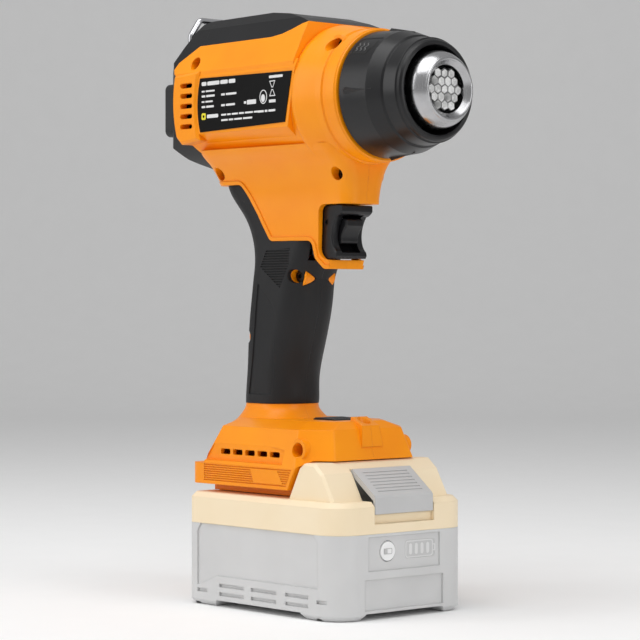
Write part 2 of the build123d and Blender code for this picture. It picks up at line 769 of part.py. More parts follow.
# ---------------------------------------------------------------- air path
tube_radius = 14.6
with BuildPart() as outlet_nozzle:
    with BuildSketch(Plane.XZ):
        with BuildLine():
            sleeve = Line((40, axis_z + 15.6), (60, axis_z + 15.7))
            swell = Spline(sleeve @ 1, (63, axis_z + 15.9), (66.6, axis_z + nozzle_radius), tangents=[(1, 0), (1, 0)])
            seat = Line(swell @ 1, (72.4, axis_z + nozzle_radius))
            dome = Spline(seat @ 1, (76, axis_z + 15.5), (78.2, axis_z + 13.8))
            rim = ThreePointArc(dome @ 1, (tip_x, axis_z + 12.9), (78.5, axis_z + 12.1))
            funnel = Line(rim @ 1, (76.6, axis_z + outlet_radius))
            Polyline(funnel @ 1, (62, axis_z + outlet_radius), (62, axis_z + 14.0), (61, axis_z + 14.8),
                     (40, axis_z + 14.8), sleeve @ 0)
        make_face()
    revolve(axis=Axis((0, 0, axis_z), (1, 0, 0)))
outlet_nozzle.part.label = "outlet_nozzle"
export_step(outlet_nozzle.part, "parts/outlet_nozzle.step")

with BuildPart() as heater_tube:
    add(axis_tube(-2, 60.6, tube_radius, tube_radius - 0.6))
heater_tube.part.label = "heater_tube"
export_step(heater_tube.part, "parts/heater_tube.step")

with BuildPart() as mica_sleeve:
    add(axis_tube(4, 60.0, tube_radius - 0.9, tube_radius - 1.5))
mica_sleeve.part.label = "mica_sleeve"
export_step(mica_sleeve.part, "parts/mica_sleeve.step")

cell_pitch = 3.3
with BuildPart() as outlet_honeycomb:
    with BuildSketch(Plane.YZ.offset(66)):
        with Locations((0, axis_z)):
            Circle(outlet_radius - 0.1)
    extrude(amount=9.4)
    with BuildSketch(Plane.YZ.offset(65)):
        with Locations((0, axis_z)):
            with HexLocations(cell_pitch / 2, 5, 5):
                RegularPolygon(1.42, 6, major_radius=False)
    extrude(amount=12, mode=Mode.SUBTRACT)
outlet_honeycomb.part.label = "outlet_honeycomb"
export_step(outlet_honeycomb.part, "parts/outlet_honeycomb.step")

former_half = 7.6
with BuildPart() as coil_former:
    with Locations((32, 0, axis_z)):
        Box(48, 2 * former_half, 1.0)
        Box(48, 1.0, 2 * former_half)
coil_former.part.label = "coil_former"
export_step(coil_former.part, "parts/coil_former.step")

with BuildPart() as heating_coil:
    for index in range(14):
        with BuildSketch(Plane.XZ):
            with Locations((10.5 + 3.3 * index, axis_z + 8.6)):
                Circle(0.6)
        revolve(axis=Axis((0, 0, axis_z), (1, 0, 0)))
    with Locations((32, 6.1, axis_z + 6.1)):
        Box(44, 1.0, 1.0)
heating_coil.part.label = "heating_coil"
export_step(heating_coil.part, "parts/heating_coil.step")

with BuildPart() as temperature_probe:
    with Locations((61.8, 0, axis_z + 4.0)):
        Box(7.0, 0.8, 0.8)
    with Locations((65.0, 0, axis_z + 4.0)):
        Sphere(0.9)
temperature_probe.part.label = "temperature_probe"
export_step(temperature_probe.part, "parts/temperature_probe.step")

# fan, motor and the duct that leads their air to the heater
duct_inner = 26.0
motor_radius = 13.8
motor_x = (-36.0, -9.0)
shaft_radius = 1.15
with BuildPart() as air_duct:
    add(axis_turned([(-50, duct_inner), (-50, 27.2), (-14, 27.2), (-1.5, 16.2), (2.0, 16.2), (2.0, tube_radius + 0.05),
                     (-2.6, tube_radius + 0.05), (-15, duct_inner)]))
    for angle in (30, 150, 270):
        with BuildPart(mode=Mode.PRIVATE) as strut:
            with Locations((-22, 0, axis_z + 20.2)):
                Box(10, 2.0, 12.6)
        add(strut.part.rotate(Axis((0, 0, axis_z), (1, 0, 0)), angle))
    add(axis_tube(-27, -17, motor_radius + 1.2, motor_radius + 0.02))
air_duct.part.label = "air_duct"
export_step(air_duct.part, "parts/air_duct.step")

with BuildPart() as fan_motor:
    add(axis_turned([(motor_x[0], 0), (motor_x[0], motor_radius - 1), (motor_x[0] + 1, motor_radius),
                     (motor_x[1] - 1, motor_radius), (motor_x[1], motor_radius - 1), (motor_x[1], 0)]))
    add(axis_tube(motor_x[0] - 2, motor_x[0] + 1, 4.0, 1.0))
    add(axis_turned([(-38, 0), (-38, shaft_radius + 0.05), (-12, shaft_radius + 0.05), (-12, 0)]),
        mode=Mode.SUBTRACT)
fan_motor.part.label = "fan_motor"
export_step(fan_motor.part, "parts/fan_motor.step")

with BuildPart() as motor_shaft:
    add(axis_turned([(-49, 0), (-49, shaft_radius), (-13, shaft_radius), (-13, 0)]))
motor_shaft.part.label = "motor_shaft"
export_step(motor_shaft.part, "parts/motor_shaft.step")

blade_count = 9
with BuildPart() as fan_impeller:
    add(axis_turned([(-48.5, shaft_radius), (-48.5, 4.0), (-46.5, 8.0), (-39.2, 9.0), (-39.2, shaft_radius)]))
    for index in range(blade_count):
        with BuildPart(mode=Mode.PRIVATE) as blade:
            with BuildSketch(Plane.XY.offset(axis_z + 7.0)):
                with Locations((-43.6, 0)):
                    Rectangle(8.0, 1.3, rotation=35)
            with BuildSketch(Plane.XY.offset(axis_z + 24.6)):
                with Locations((-43.6, 0)):
                    Rectangle(8.6, 1.1, rotation=52)
            loft(ruled=True)
        add(blade.part.rotate(Axis((0, 0, axis_z), (1, 0, 0)), 360 / blade_count * index))
fan_impeller.part.label = "fan_impeller"
export_step(fan_impeller.part, "parts/fan_impeller.step")

# main board above the duct, under the top cover
with BuildPart() as main_board:
    with Locations((-33, 0, 255.0)):
        Box(40, 27, 1.6)
    for x, y, size in ((-46, -7, 7.0), (-46, 7, 7.0), (-30, -6, 5.0), (-22, 7, 6.0)):
        with Locations((x, y, 257.4)):
            Box(size, size, 3.4)
main_board.part.label = "main_board"
export_step(main_board.part, "parts/main_board.step")

# ---------------------------------------------------------------- trigger group
lever_pivot = (10.6, 170.2)
lever_half = 5.0
pin_radius = 1.1
pocket_half = lever_half + 0.4

with BuildPart() as trigger:
    with BuildSketch(Plane.XZ):
        with BuildLine():
            top = Polyline((1.0, 156.0), (1.0, 177.5), (20.2, 177.5), (20.7, 177.0), (20.7, 174.8))
            brow = ThreePointArc(top @ 1, (19.2, 173.4), (17.4, 172.6))
            rim = Spline(brow @ 1, (15.4, 169.4), (14.2, 165.0), (14.6, 160.6), (16.6, 157.4))
            Polyline(rim @ 1, (16.9, 155.4), (16.2, 154.2), (3.0, 154.2), (1.0, 156.0))
        make_face()
    extrude(amount=trigger_half, both=True)
    rim_edges = trigger.faces().filter_by(Axis.Y).edges().filter_by(lambda e: e.center().X > 13 and e.length > 10)
    fillet(rim_edges, 0.8)
    # pocket for the safety lever
    with BuildSketch(Plane.XZ):
        with BuildLine():
            floor_line = ThreePointArc((9.6, 161.5), (12.6, 158.0), (17.5, 156.8))
            Polyline(floor_line @ 1, (30, 156.8), (30, 173.6), (16.4, 173.2), (7.4, 173.0), (7.4, 164.4),
                     floor_line @ 0)
        make_face()
    extrude(amount=pocket_half, both=True, mode=Mode.SUBTRACT)
    add(side_rod(lever_pivot[0], lever_pivot[1], pin_radius + 0.02, -20, 20), mode=Mode.SUBTRACT)
    # socket for the switch plunger
    with BuildSketch(Plane.YZ):
        with Locations((0, 166)):
            Circle(2.02)
    extrude(amount=4.0, mode=Mode.SUBTRACT)
trigger.part.label = "trigger"
export_step(trigger.part, "parts/trigger.step")

with BuildPart() as lever_pin:
    add(side_rod(lever_pivot[0], lever_pivot[1], pin_radius, -trigger_half + 0.6, trigger_half - 0.6))
lever_pin.part.label = "lever_pin"
export_step(lever_pin.part, "parts/lever_pin.step")

with BuildPart() as safety_lever:
    with BuildSketch(Plane.XZ):
        with BuildLine():
            head = Polyline((10.6, 172.6), (18.4, 171.6), (19.2, 170.9), (19.3, 168.6))
            saddle = Spline(head @ 1, (17.6, 166.8), (16.2, 164.4), (15.9, 162.0))
            heel = ThreePointArc(saddle @ 1, (14.6, 160.6), (12.8, 161.6))
            back = Spline(heel @ 1, (11.2, 164.6), (9.4, 167.4), (8.4, 170.2))
            ThreePointArc(back @ 1, (9.0, 172.0), head @ 0)
        make_face()
    extrude(amount=lever_half, both=True)
    fillet(safety_lever.faces().filter_by(Axis.Y).edges().filter_by(lambda e: e.center().X > 13), 0.6)
    add(side_rod(lever_pivot[0], lever_pivot[1], pin_radius + 0.05, -20, 20), mode=Mode.SUBTRACT)
safety_lever.part.label = "safety_lever"
export_step(safety_lever.part, "parts/safety_lever.step")

plunger_z = 166.0
with BuildPart() as switch_plunger:
    with BuildSketch(Plane.YZ.offset(-15.0)):
        with Locations((0, plunger_z)):
            Circle(2.0)
    extrude(amount=18.6)
switch_plunger.part.label = "switch_plunger"
export_step(switch_plunger.part, "parts/switch_plunger.step")

switch_x = (-30.0, -7.5)
with BuildPart() as trigger_switch:
    with Locations(((switch_x[0] + switch_x[1]) / 2, 0, 166.5)):
        Box(switch_x[1] - switch_x[0], 15, 16)
    chamfer(trigger_switch.edges().filter_by(Axis.Y), 0.8)
    with BuildSketch(Plane.YZ.offset(-23)):
        with Locations((0, plunger_z)):
            Circle(2.4)
    extrude(amount=20, mode=Mode.SUBTRACT)
trigger_switch.part.label = "trigger_switch"
export_step(trigger_switch.part, "parts/trigger_switch.step")

with BuildPart() as trigger_spring:
    for index in range(5):
        with BuildSketch(Plane.XZ):
            with Locations((-6.8 + 1.7 * index, plunger_z + 3.2)):
                Circle(0.4)
        revolve(axis=Axis((0, 0, plunger_z), (1, 0, 0)))
    with Locations((-3.4, 0, plunger_z + 3.2)):
        Box(7.2, 0.5, 0.5)
trigger_spring.part.label = "trigger_spring"
export_step(trigger_spring.part, "parts/trigger_spring.step")

# ---------------------------------------------------------------- foot fittings
with BuildPart() as foot_insert:
    with BuildSketch(Plane.XZ):
        with BuildLine():
            Polyline((insert_x[0] + 0.1, 79.6), (insert_x[0] + 0.1, 83.4), (insert_x[0] + 1.4, 84.0),
                     (insert_x[1] - 1.2, 83.6), (insert_x[1] - 0.1, 83.0), (insert_x[1] - 0.1, 79.6), close=True)
        make_face()
    extrude(amount=insert_half - 0.1, both=True)
    for index in range(6):
        with Locations((insert_x[0] + 2.9 + 1.9 * index, 0, 84.2)):
            Box(0.8, 2 * insert_half - 2.4, 2.2, mode=Mode.SUBTRACT)
foot_insert.part.label = "foot_insert"
export_step(foot_insert.part, "parts/foot_insert.step")

with BuildPart() as work_lamp:
    with BuildSketch(Plane.XY.offset(71)):
        with Locations((lamp_x - 0.2, 0)):
            Circle(1.8)
    extrude(amount=6.6)
    with Locations((lamp_x - 0.2, 0, 77.6)):
        Sphere(1.8)
work_lamp.part.label = "work_lamp"
export_step(work_lamp.part, "parts/work_lamp.step")

# shoe that slides between the pack's rails
shoe_x = (-46.6, 12.6)
shoe_bottom = 43.7
waist_z = (46.0, 50.4)
bay_half = 18.5
with BuildPart() as rail_shoe:
    with BuildSketch(Plane.YZ.offset(shoe_x[0])):
        with BuildLine():
            Polyline((-rail_half, shoe_bottom), (-rail_half, waist_z[0]), (-waist_half, waist_z[0]),
                     (-waist_half, waist_z[1]), (-rail_half, waist_z[1]), (-rail_half, foot_floor),
                     (rail_half, foot_floor), (rail_half, waist_z[1]), (waist_half, waist_z[1]),
                     (waist_half, waist_z[0]), (rail_half, waist_z[0]), (rail_half, shoe_bottom), close=True)
        make_face()
    extrude(amount=shoe_x[1] - shoe_x[0])
    # bay for the pack's terminal tower, open towards the front and below
    with Locations(((-34 + shoe_x[1] + 2) / 2, 0, shoe_bottom + 2)):
        Box(shoe_x[1] + 2 + 34, 2 * bay_half, 10.0, mode=Mode.SUBTRACT)
    with Locations((-14, 0, foot_floor)):
        Box(24, 32, 10, mode=Mode.SUBTRACT)
rail_shoe.part.label = "rail_shoe"
export_step(rail_shoe.part, "parts/rail_shoe.step")

blade_ys = (-12.0, -6.0, 6.0, 12.0)
with BuildPart() as terminal_block:
    with Locations((-14, 0, 53.2)):
        Box(23.6, 31.6, 5.0)
    for y in blade_ys:
        with Locations((-14, y, 53.2)):
            Box(10.2, 0.9, 8, mode=Mode.SUBTRACT)
terminal_block.part.label = "terminal_block"
export_step(terminal_block.part, "parts/terminal_block.step")

with BuildPart() as terminal_blades:
    for y in blade_ys:
        with Locations((-14, y, 51.8)):
            Box(10.0, 0.8, 12.0)
terminal_blades.part.label = "terminal_blades"
export_step(terminal_blades.part, "parts/terminal_blades.step")

# two leads from the terminal block up the grip to the switch
lead_radius = 1.1
with BuildPart() as power_leads:
    for y in (-6.0, 6.0):
        with BuildLine() as lead_line:
            FilletPolyline((-14, y, 57.9), (-14, y, 66), (-29, y, 84), (-26, y, 140), (-21, y, 157.8), radius=8)
        with BuildSketch(Plane(origin=lead_line.line @ 0, z_dir=lead_line.line % 0)):
            Circle(lead_radius)
        sweep(path=lead_line.line)
power_leads.part.label = "power_leads"
export_step(power_leads.part, "parts/power_leads.step")

# ---------------------------------------------------------------- battery pack
half_l = pack_length / 2
half_w = pack_width / 2
case_plan = [(-half_l, -half_w), (half_l, -half_w), (half_l, half_w), (-half_l, half_w)]
rear_corner = 6.0
front_corner = 12.0
inner_top_z = channel_floor_z - 2.0
hump_half = 34.5
hump_side = [(13.5, pack_seam_z), (13.5, deck_z), (20.6, 63.4), (23.6, 65.6), (25.5, hump_z), (31, hump_z),
             (36.4, 61.6), (43.4, deck_z - 0.4), (43.4, pack_seam_z)]


def case_block(low, high, inset):
    """Upright block with the pack's plan: tight corners behind, wide ones in front."""
    with BuildPart() as block:
        with BuildSketch(Plane.XY.offset(low)) as plan:
            with BuildLine():
                Polyline(*case_plan, close=True)
            make_face()
            fillet(plan.vertices().group_by(Axis.X)[0], rear_corner)
            fillet(plan.vertices().group_by(Axis.X)[-1], front_corner)
            if inset:
                offset(amount=-inset)
        extrude(amount=high - low)
    return block.part


# recessed fields on the long sides, and the row of grille slots under them
field_outline = [(-43, 8.5), (-43, 33), (-39.5, 38.4), (34, 38.4), (38.5, 33), (38.5, 13.5), (-29, 13.5),
                 (-36, 11.0)]
with BuildPart() as side_fields:
    add(side_prism(field_outline, 45))
    Box(200, 2 * (half_w - 0.7), 200, mode=Mode.SUBTRACT)

with BuildPart() as side_grille:
    for x, width, z in ((-19, 17, 9.4), (3, 17, 9.4), (25, 15, 9.4), (-19, 17, 5.6), (3, 17, 5.6), (25, 15, 5.6),
                        (-39.5, 7, 6.4), (41, 6, 8.0)):
        with Locations((x, 0, z)):
            Box(width, 90, 1.5)
    Box(200, 2 * (half_w - 1.0), 200, mode=Mode.SUBTRACT)

with BuildPart() as pack_feet_gap:
    with BuildSketch(Plane.XZ):
        with BuildLine():
            Polyline((-32, 0), (-29.4, foot_lift), (27.4, foot_lift), (30, 0), close=True)
        make_face()
    extrude(amount=50, both=True)
    with BuildSketch(Plane.YZ):
        with BuildLine():
            Polyline((-25, 0), (-22.4, foot_lift), (22.4, foot_lift), (25, 0), close=True)
        make_face()
    extrude(amount=60, both=True)

pack_screw_spots = [(x, side * 35.2) for x in (-44.0, 38.0) for side in (-1, 1)]
gauge_z = (20.5, 35.0)
gauge_half = 21.0
gauge_button_y = -9.5
gauge_button_z = 28.6
gauge_button_radius = 4.2
window_y = (1.0, 18.6)
window_span_z = (24.8, 32.4)
with BuildPart() as pack_lower_case:
    add(case_block(0, pack_seam_z, 0))
    chamfer(pack_lower_case.faces().sort_by(Axis.Z)[0].edges(), 2.0)
    add(pack_feet_gap.part, mode=Mode.SUBTRACT)
    add(case_block(foot_lift + 2.0, 60, wall), mode=Mode.SUBTRACT)
    add(side_fields.part, mode=Mode.SUBTRACT)
    add(side_grille.part, mode=Mode.SUBTRACT)
    with Locations(*[(x, y, 1.2) for x, y in pack_screw_spots]):
        Cylinder(2.7, 2.4, mode=Mode.SUBTRACT)
        Cylinder(1.3, 12, mode=Mode.SUBTRACT)
    # recess of the charge gauge, a lower recess under it, and openings for its button and window
    with Locations((half_l, 0, sum(gauge_z) / 2)):
        Box(1.6, 2 * gauge_half, gauge_z[1] - gauge_z[0], mode=Mode.SUBTRACT)
    with Locations((half_l, 0, 10.4)):
        Box(2.0, 46, 13.0, mode=Mode.SUBTRACT)
    with BuildSketch(Plane.YZ.offset(half_l - 6)):
        with Locations((gauge_button_y, gauge_button_z)):
            Circle(gauge_button_radius + 0.3)
        with Locations((sum(window_y) / 2, sum(window_span_z) / 2)):
            RectangleRounded(window_y[1] - window_y[0], window_span_z[1] - window_span_z[0], 1.2)
    extrude(amount=10, mode=Mode.SUBTRACT)
pack_lower_case.part.label = "pack_lower_case"
export_step(pack_lower_case.part, "parts/pack_lower_case.step")

with BuildPart() as pack_hump:
    add(side_prism(hump_side, hump_half))
    chamfer(pack_hump.faces().filter_by(Axis.Y).edges(), 1.3)

# space for the tool's shoe, open to the rear: wide below the rails, narrow between them
channel_x = (-60.0, 13.3)
rail_under_z = waist_z[0] + slide_gap
with BuildPart() as rail_channel:
    for low, high, half in ((channel_floor_z, rail_under_z, rail_half + slide_gap),
                            (channel_floor_z, 80, waist_half + slide_gap)):
        with Locations(((channel_x[0] + channel_x[1]) / 2, 0, (low + high) / 2)):
            Box(channel_x[1] - channel_x[0], 2 * half, high - low)

button_half_w = 17.0
button_opening_half = button_half_w + 0.5
with BuildPart() as pack_upper_case:
    add(case_block(pack_seam_z, deck_z, 0))
    chamfer(pack_upper_case.faces().sort_by(Axis.Z)[-1].edges(), 2.2)
    add(pack_hump.part)
    # inside
    add(case_block(pack_seam_z - 1, inner_top_z, wall), mode=Mode.SUBTRACT)
    add(side_prism([(17, 40), (17, 50.6), (24, 62.6), (26.4, 63.8), (30, 63.8), (34.6, 60), (41, 49), (46, 47),
                    (46, 40)], hump_half - wall), mode=Mode.SUBTRACT)
    # channel for the tool's shoe, open to the rear
    add(rail_channel.part, mode=Mode.SUBTRACT)
    # opening and front step for the release button
    add(side_prism([(34.6, 70), (34.6, 44.4), (49.0, 44.4), (49.0, 40.4), (60, 40.4), (60, 70)],
                   button_opening_half), mode=Mode.SUBTRACT)
pack_upper_case.part.label = "pack_upper_case"
export_step(pack_upper_case.part, "parts/pack_upper_case.step")

with BuildPart() as release_button:
    with BuildSketch(Plane.XZ):
        with BuildLine():
            Polyline((35.2, 58.6), (35.2, 62.6), (36.2, 63.3), (50.2, 52.6), (50.8, 51.6), (50.8, 44.6),
                     (49.4, 44.6), (49.4, 50.4), (36.8, 59.8), (36.8, 48.4), (35.2, 48.4), close=True)
        make_face()
    extrude(amount=button_half_w, both=True)
    for index in range(7):
        with Locations(Location((38.6 + 1.62 * index, 0, 61.6 - 1.24 * index), (0, 37.4, 0))):
            Box(0.6, 2 * button_half_w - 8, 0.7, mode=Mode.SUBTRACT)
release_button.part.label = "release_button"
export_step(release_button.part, "parts/release_button.step")

with BuildPart() as release_spring:
    for index in range(3):
        with Locations((36.0, 0, 44.6 + 1.5 * index)):
            Torus(2.4, 0.35)
    with Locations((38.4, 0, 46.0)):
        Box(0.5, 0.5, 3.4)
release_spring.part.label = "release_spring"
export_step(release_spring.part, "parts/release_spring.step")

cell_pitch_x = 18.9
cell_spots = [(cell_pitch_x * (column - 2), foot_lift + 2.1 + cell_radius + (2 * cell_radius + 0.02) * row)
              for row in range(2) for column in range(5)]
with BuildPart() as pack_cells:
    for x, z in cell_spots:
        add(side_rod(x, z, cell_radius, -cell_length / 2, cell_length / 2))
        add(side_rod(x, z, 3.0, cell_length / 2, cell_length / 2 + 0.8))
pack_cells.part.label = "pack_cells"
export_step(pack_cells.part, "parts/pack_cells.step")

with BuildPart() as cell_holders:
    for y in (-24.0, 20.0):
        with Locations((0, y + 2, 22.9)):
            Box(95.6, 4.0, 36.2)
    for x, z in cell_spots:
        add(side_rod(x, z, cell_radius + 0.005, -40, 40), mode=Mode.SUBTRACT)
cell_holders.part.label = "cell_holders"
export_step(cell_holders.part, "parts/cell_holders.step")

with BuildPart() as cell_straps:
    for index in range(5):
        for side in (-1, 1):
            with Locations((cell_pitch_x * (index - 2), side * 33.75, 22.9)):
                Box(8.0, 0.3, 26.0)
cell_straps.part.label = "cell_straps"
export_step(cell_straps.part, "parts/cell_straps.step")

with BuildPart() as pack_board:
    with Locations((30.2, 0, 42.4)):
        Box(24.6, 58, 1.6)
    with Locations((24, -16, 44.6)):
        Box(7, 10, 2.8)
    with Locations((24, 14, 44.6)):
        Box(6, 6, 2.8)
pack_board.part.label = "pack_board"
export_step(pack_board.part, "parts/pack_board.step")

# terminal tower in the channel: slots that the tool's blades slide into
with BuildPart() as pack_terminals:
    with Locations((-8, 0, channel_floor_z + 2.4)):
        Box(30, 32, 4.8)
    for y in blade_ys:
        with Locations((-12, y, channel_floor_z + 3.4)):
            Box(60, 1.6, 5.0, mode=Mode.SUBTRACT)
pack_terminals.part.label = "pack_terminals"
export_step(pack_terminals.part, "parts/pack_terminals.step")

with BuildPart() as gauge_button:
    with BuildSketch(Plane.YZ.offset(half_l - 3.2)):
        with Locations((gauge_button_y, gauge_button_z)):
            Circle(gauge_button_radius)
    extrude(amount=3.0)
    fillet(gauge_button.faces().sort_by(Axis.X)[-1].edges(), 0.5)
gauge_button.part.label = "gauge_button"
export_step(gauge_button.part, "parts/gauge_button.step")

with BuildPart() as gauge_window:
    with BuildSketch(Plane.YZ.offset(half_l - 2.2)):
        with Locations((sum(window_y) / 2, sum(window_span_z) / 2)):
            RectangleRounded(window_y[1] - window_y[0], window_span_z[1] - window_span_z[0], 1.2)
    extrude(amount=1.3)
gauge_window.part.label = "gauge_window"
export_step(gauge_window.part, "parts/gauge_window.step")

with BuildPart() as pack_screws:
    with Locations(*[(x, y, 1.6) for x, y in pack_screw_spots]):
        Cylinder(2.5, 1.6)
    with Locations(*[(x, y, 4.4) for x, y in pack_screw_spots]):
        Cylinder(1.2, 4.4)
pack_screws.part.label = "pack_screws"
export_step(pack_screws.part, "parts/pack_screws.step")
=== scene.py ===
import json
import math
import random

import bmesh
import bpy
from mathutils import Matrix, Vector


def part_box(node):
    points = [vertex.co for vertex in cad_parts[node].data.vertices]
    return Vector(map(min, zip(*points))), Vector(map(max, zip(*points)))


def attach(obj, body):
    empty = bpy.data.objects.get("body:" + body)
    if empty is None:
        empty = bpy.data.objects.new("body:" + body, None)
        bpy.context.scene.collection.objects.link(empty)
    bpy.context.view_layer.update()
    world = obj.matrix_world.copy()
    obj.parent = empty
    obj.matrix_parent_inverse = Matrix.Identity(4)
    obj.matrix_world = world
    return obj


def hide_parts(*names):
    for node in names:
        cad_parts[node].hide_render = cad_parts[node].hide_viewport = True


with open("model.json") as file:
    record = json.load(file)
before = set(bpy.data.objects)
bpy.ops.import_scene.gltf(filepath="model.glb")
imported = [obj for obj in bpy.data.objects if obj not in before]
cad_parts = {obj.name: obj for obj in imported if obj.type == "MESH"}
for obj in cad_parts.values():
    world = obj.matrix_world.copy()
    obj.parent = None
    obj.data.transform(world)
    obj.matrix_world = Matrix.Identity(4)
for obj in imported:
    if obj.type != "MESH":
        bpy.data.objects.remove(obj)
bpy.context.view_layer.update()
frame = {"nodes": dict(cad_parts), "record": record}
nodes = frame["nodes"]
random.seed(11)

# ---------------------------------------------------------------- places taken from the frame
axis_z = sum(corner.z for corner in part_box("nose_flange")) / 2
plate_low, plate_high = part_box("rating_plate_right")
comb_low, comb_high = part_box("outlet_honeycomb")
gauge_low, gauge_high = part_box("gauge_window")
gauge_key_low, gauge_key_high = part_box("gauge_button")
display_low, display_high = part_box("display_module")
MM = 0.001
PRINT = 0.06 * MM          # height of printed ink
SUNK = -0.04 * MM          # how far printing reaches into the surface under it


# ---------------------------------------------------------------- shader helpers
def new_material(name):
    material = bpy.data.materials.new(name)
    material.use_nodes = True
    tree = material.node_tree
    tree.nodes.clear()
    output = tree.nodes.new("ShaderNodeOutputMaterial")
    surface = tree.nodes.new("ShaderNodeBsdfPrincipled")
    tree.links.new(surface.outputs["BSDF"], output.inputs["Surface"])
    return material, tree, surface


def object_space(tree):
    return tree.nodes.new("ShaderNodeTexCoord").outputs["Object"]


def noise(tree, vector, size, detail=3.0, rough=0.55):
    """Noise whose features are about size metres across."""
    node = tree.nodes.new("ShaderNodeTexNoise")
    node.inputs["Scale"].default_value = 1.0 / size
    node.inputs["Detail"].default_value = detail
    node.inputs["Roughness"].default_value = rough
    tree.links.new(vector, node.inputs["Vector"])
    return node.outputs["Fac"]


def spread(tree, value, low, high, start=0.3, end=0.7):
    """Map a 0-1 texture to the range low-high."""
    node = tree.nodes.new("ShaderNodeMapRange")
    node.inputs["From Min"].default_value = start
    node.inputs["From Max"].default_value = end
    node.inputs["To Min"].default_value = low
    node.inputs["To Max"].default_value = high
    tree.links.new(value, node.inputs["Value"])
    return node.outputs["Result"]


def sum_of(tree, first, second, mode="ADD"):
    node = tree.nodes.new("ShaderNodeMath")
    node.operation = mode
    tree.links.new(first, node.inputs[0])
    if isinstance(second, float):
        node.inputs[1].default_value = second
    else:
        tree.links.new(second, node.inputs[1])
    return node.outputs["Value"]


def mix_colour(tree, factor, first, second):
    node = tree.nodes.new("ShaderNodeMix")
    node.data_type = "RGBA"
    tree.links.new(factor, node.inputs["Factor"])
    node.inputs["A"].default_value = (*first, 1.0)
    node.inputs["B"].default_value = (*second, 1.0)
    return node.outputs["Result"]


def bump(tree, surface, height, depth, edge):
    """Relief of the given depth over edges rounded to the given radius."""
    relief = tree.nodes.new("ShaderNodeBump")
    relief.inputs["Strength"].default_value = 1.0
    relief.inputs["Distance"].default_value = depth
    tree.links.new(height, relief.inputs["Height"])
    if edge:
        rounded = tree.nodes.new("ShaderNodeBevel")
        rounded.samples = 4
        rounded.inputs["Radius"].default_value = edge
        tree.links.new(rounded.outputs["Normal"], relief.inputs["Normal"])
    tree.links.new(relief.outputs["Normal"], surface.inputs["Normal"])


def stretched(tree, vector, scale):
    node = tree.nodes.new("ShaderNodeMapping")
    node.inputs["Scale"].default_value = scale
    tree.links.new(vector, node.inputs["Vector"])
    return node.outputs["Vector"]


def turned_space(tree, centre_z):
    """Coordinates (distance along X, radius, 0) of a part turned about the air path's axis."""
    split = tree.nodes.new("ShaderNodeSeparateXYZ")
    tree.links.new(object_space(tree), split.inputs["Vector"])
    height = sum_of(tree, split.outputs["Z"], centre_z, "SUBTRACT")
    square_y = sum_of(tree, split.outputs["Y"], split.outputs["Y"], "MULTIPLY")
    square_z = sum_of(tree, height, height, "MULTIPLY")
    radius = sum_of(tree, sum_of(tree, square_y, square_z), 0.5, "POWER")
    joined = tree.nodes.new("ShaderNodeCombineXYZ")
    tree.links.new(split.outputs["X"], joined.inputs["X"])
    tree.links.new(radius, joined.inputs["Y"])
    return joined.outputs["Vector"]


# ---------------------------------------------------------------- materials
def plastic(name, colour, shade, rough, grain=0.35 * MM, depth=0.02 * MM, edge=0.35 * MM, wear=0.06,
            specular=0.5, coat=0.0, coat_rough=0.2):
    """Moulded plastic or rubber: spark-eroded grain, broad mottling, a few handling marks."""
    material, tree, surface = new_material(name)
    place = object_space(tree)
    broad = noise(tree, place, 26 * MM, 2.0)
    grains = noise(tree, place, grain, 2.0, 0.6)
    marks = noise(tree, stretched(tree, place, (1.0, 6.0, 0.4)), 5 * MM, 5.0, 0.7)
    mottled = mix_colour(tree, spread(tree, broad, 0.0, 1.0), colour, shade)
    tree.links.new(mottled, surface.inputs["Base Color"])
    gloss = sum_of(tree, spread(tree, broad, rough - wear / 2, rough + wear / 2),
                   spread(tree, marks, 0.0, wear, 0.55, 0.8))
    tree.links.new(gloss, surface.inputs["Roughness"])
    surface.inputs["Specular IOR Level"].default_value = specular
    surface.inputs["Coat Weight"].default_value = coat
    surface.inputs["Coat Roughness"].default_value = coat_rough
    bump(tree, surface, grains, depth, edge)
    return material


def drawn_metal(name, colour, shade, rough, turned=False, streak=(1.0, 1.0, 1.0), depth=0.008 * MM,
                edge=0.2 * MM, size=0.5 * MM):
    """Metal with fine lines: round the axis if turned, or along the direction of the small streak value."""
    material, tree, surface = new_material(name)
    place = turned_space(tree, axis_z) if turned else object_space(tree)
    lines = noise(tree, stretched(tree, place, streak), size, 4.0, 0.65)
    stains = noise(tree, object_space(tree), 7 * MM, 3.0)
    stained = mix_colour(tree, spread(tree, stains, 0.0, 1.0), colour, shade)
    tree.links.new(stained, surface.inputs["Base Color"])
    gloss = sum_of(tree, spread(tree, lines, rough - 0.05, rough + 0.05), spread(tree, stains, 0.0, 0.07))
    tree.links.new(gloss, surface.inputs["Roughness"])
    surface.inputs["Metallic"].default_value = 1.0
    bump(tree, surface, lines, depth, edge)
    return material


def clear_plastic(name, colour, rough, transmission):
    material, tree, surface = new_material(name)
    place = object_space(tree)
    haze = noise(tree, place, 6 * MM, 3.0)
    darker = [0.92 * part for part in colour]
    tree.links.new(mix_colour(tree, haze, colour, darker), surface.inputs["Base Color"])
    tree.links.new(spread(tree, haze, rough, rough + 0.08), surface.inputs["Roughness"])
    surface.inputs["Transmission Weight"].default_value = transmission
    surface.inputs["IOR"].default_value = 1.49
    bump(tree, surface, noise(tree, place, 0.8 * MM), 0.004 * MM, 0.0)
    return material


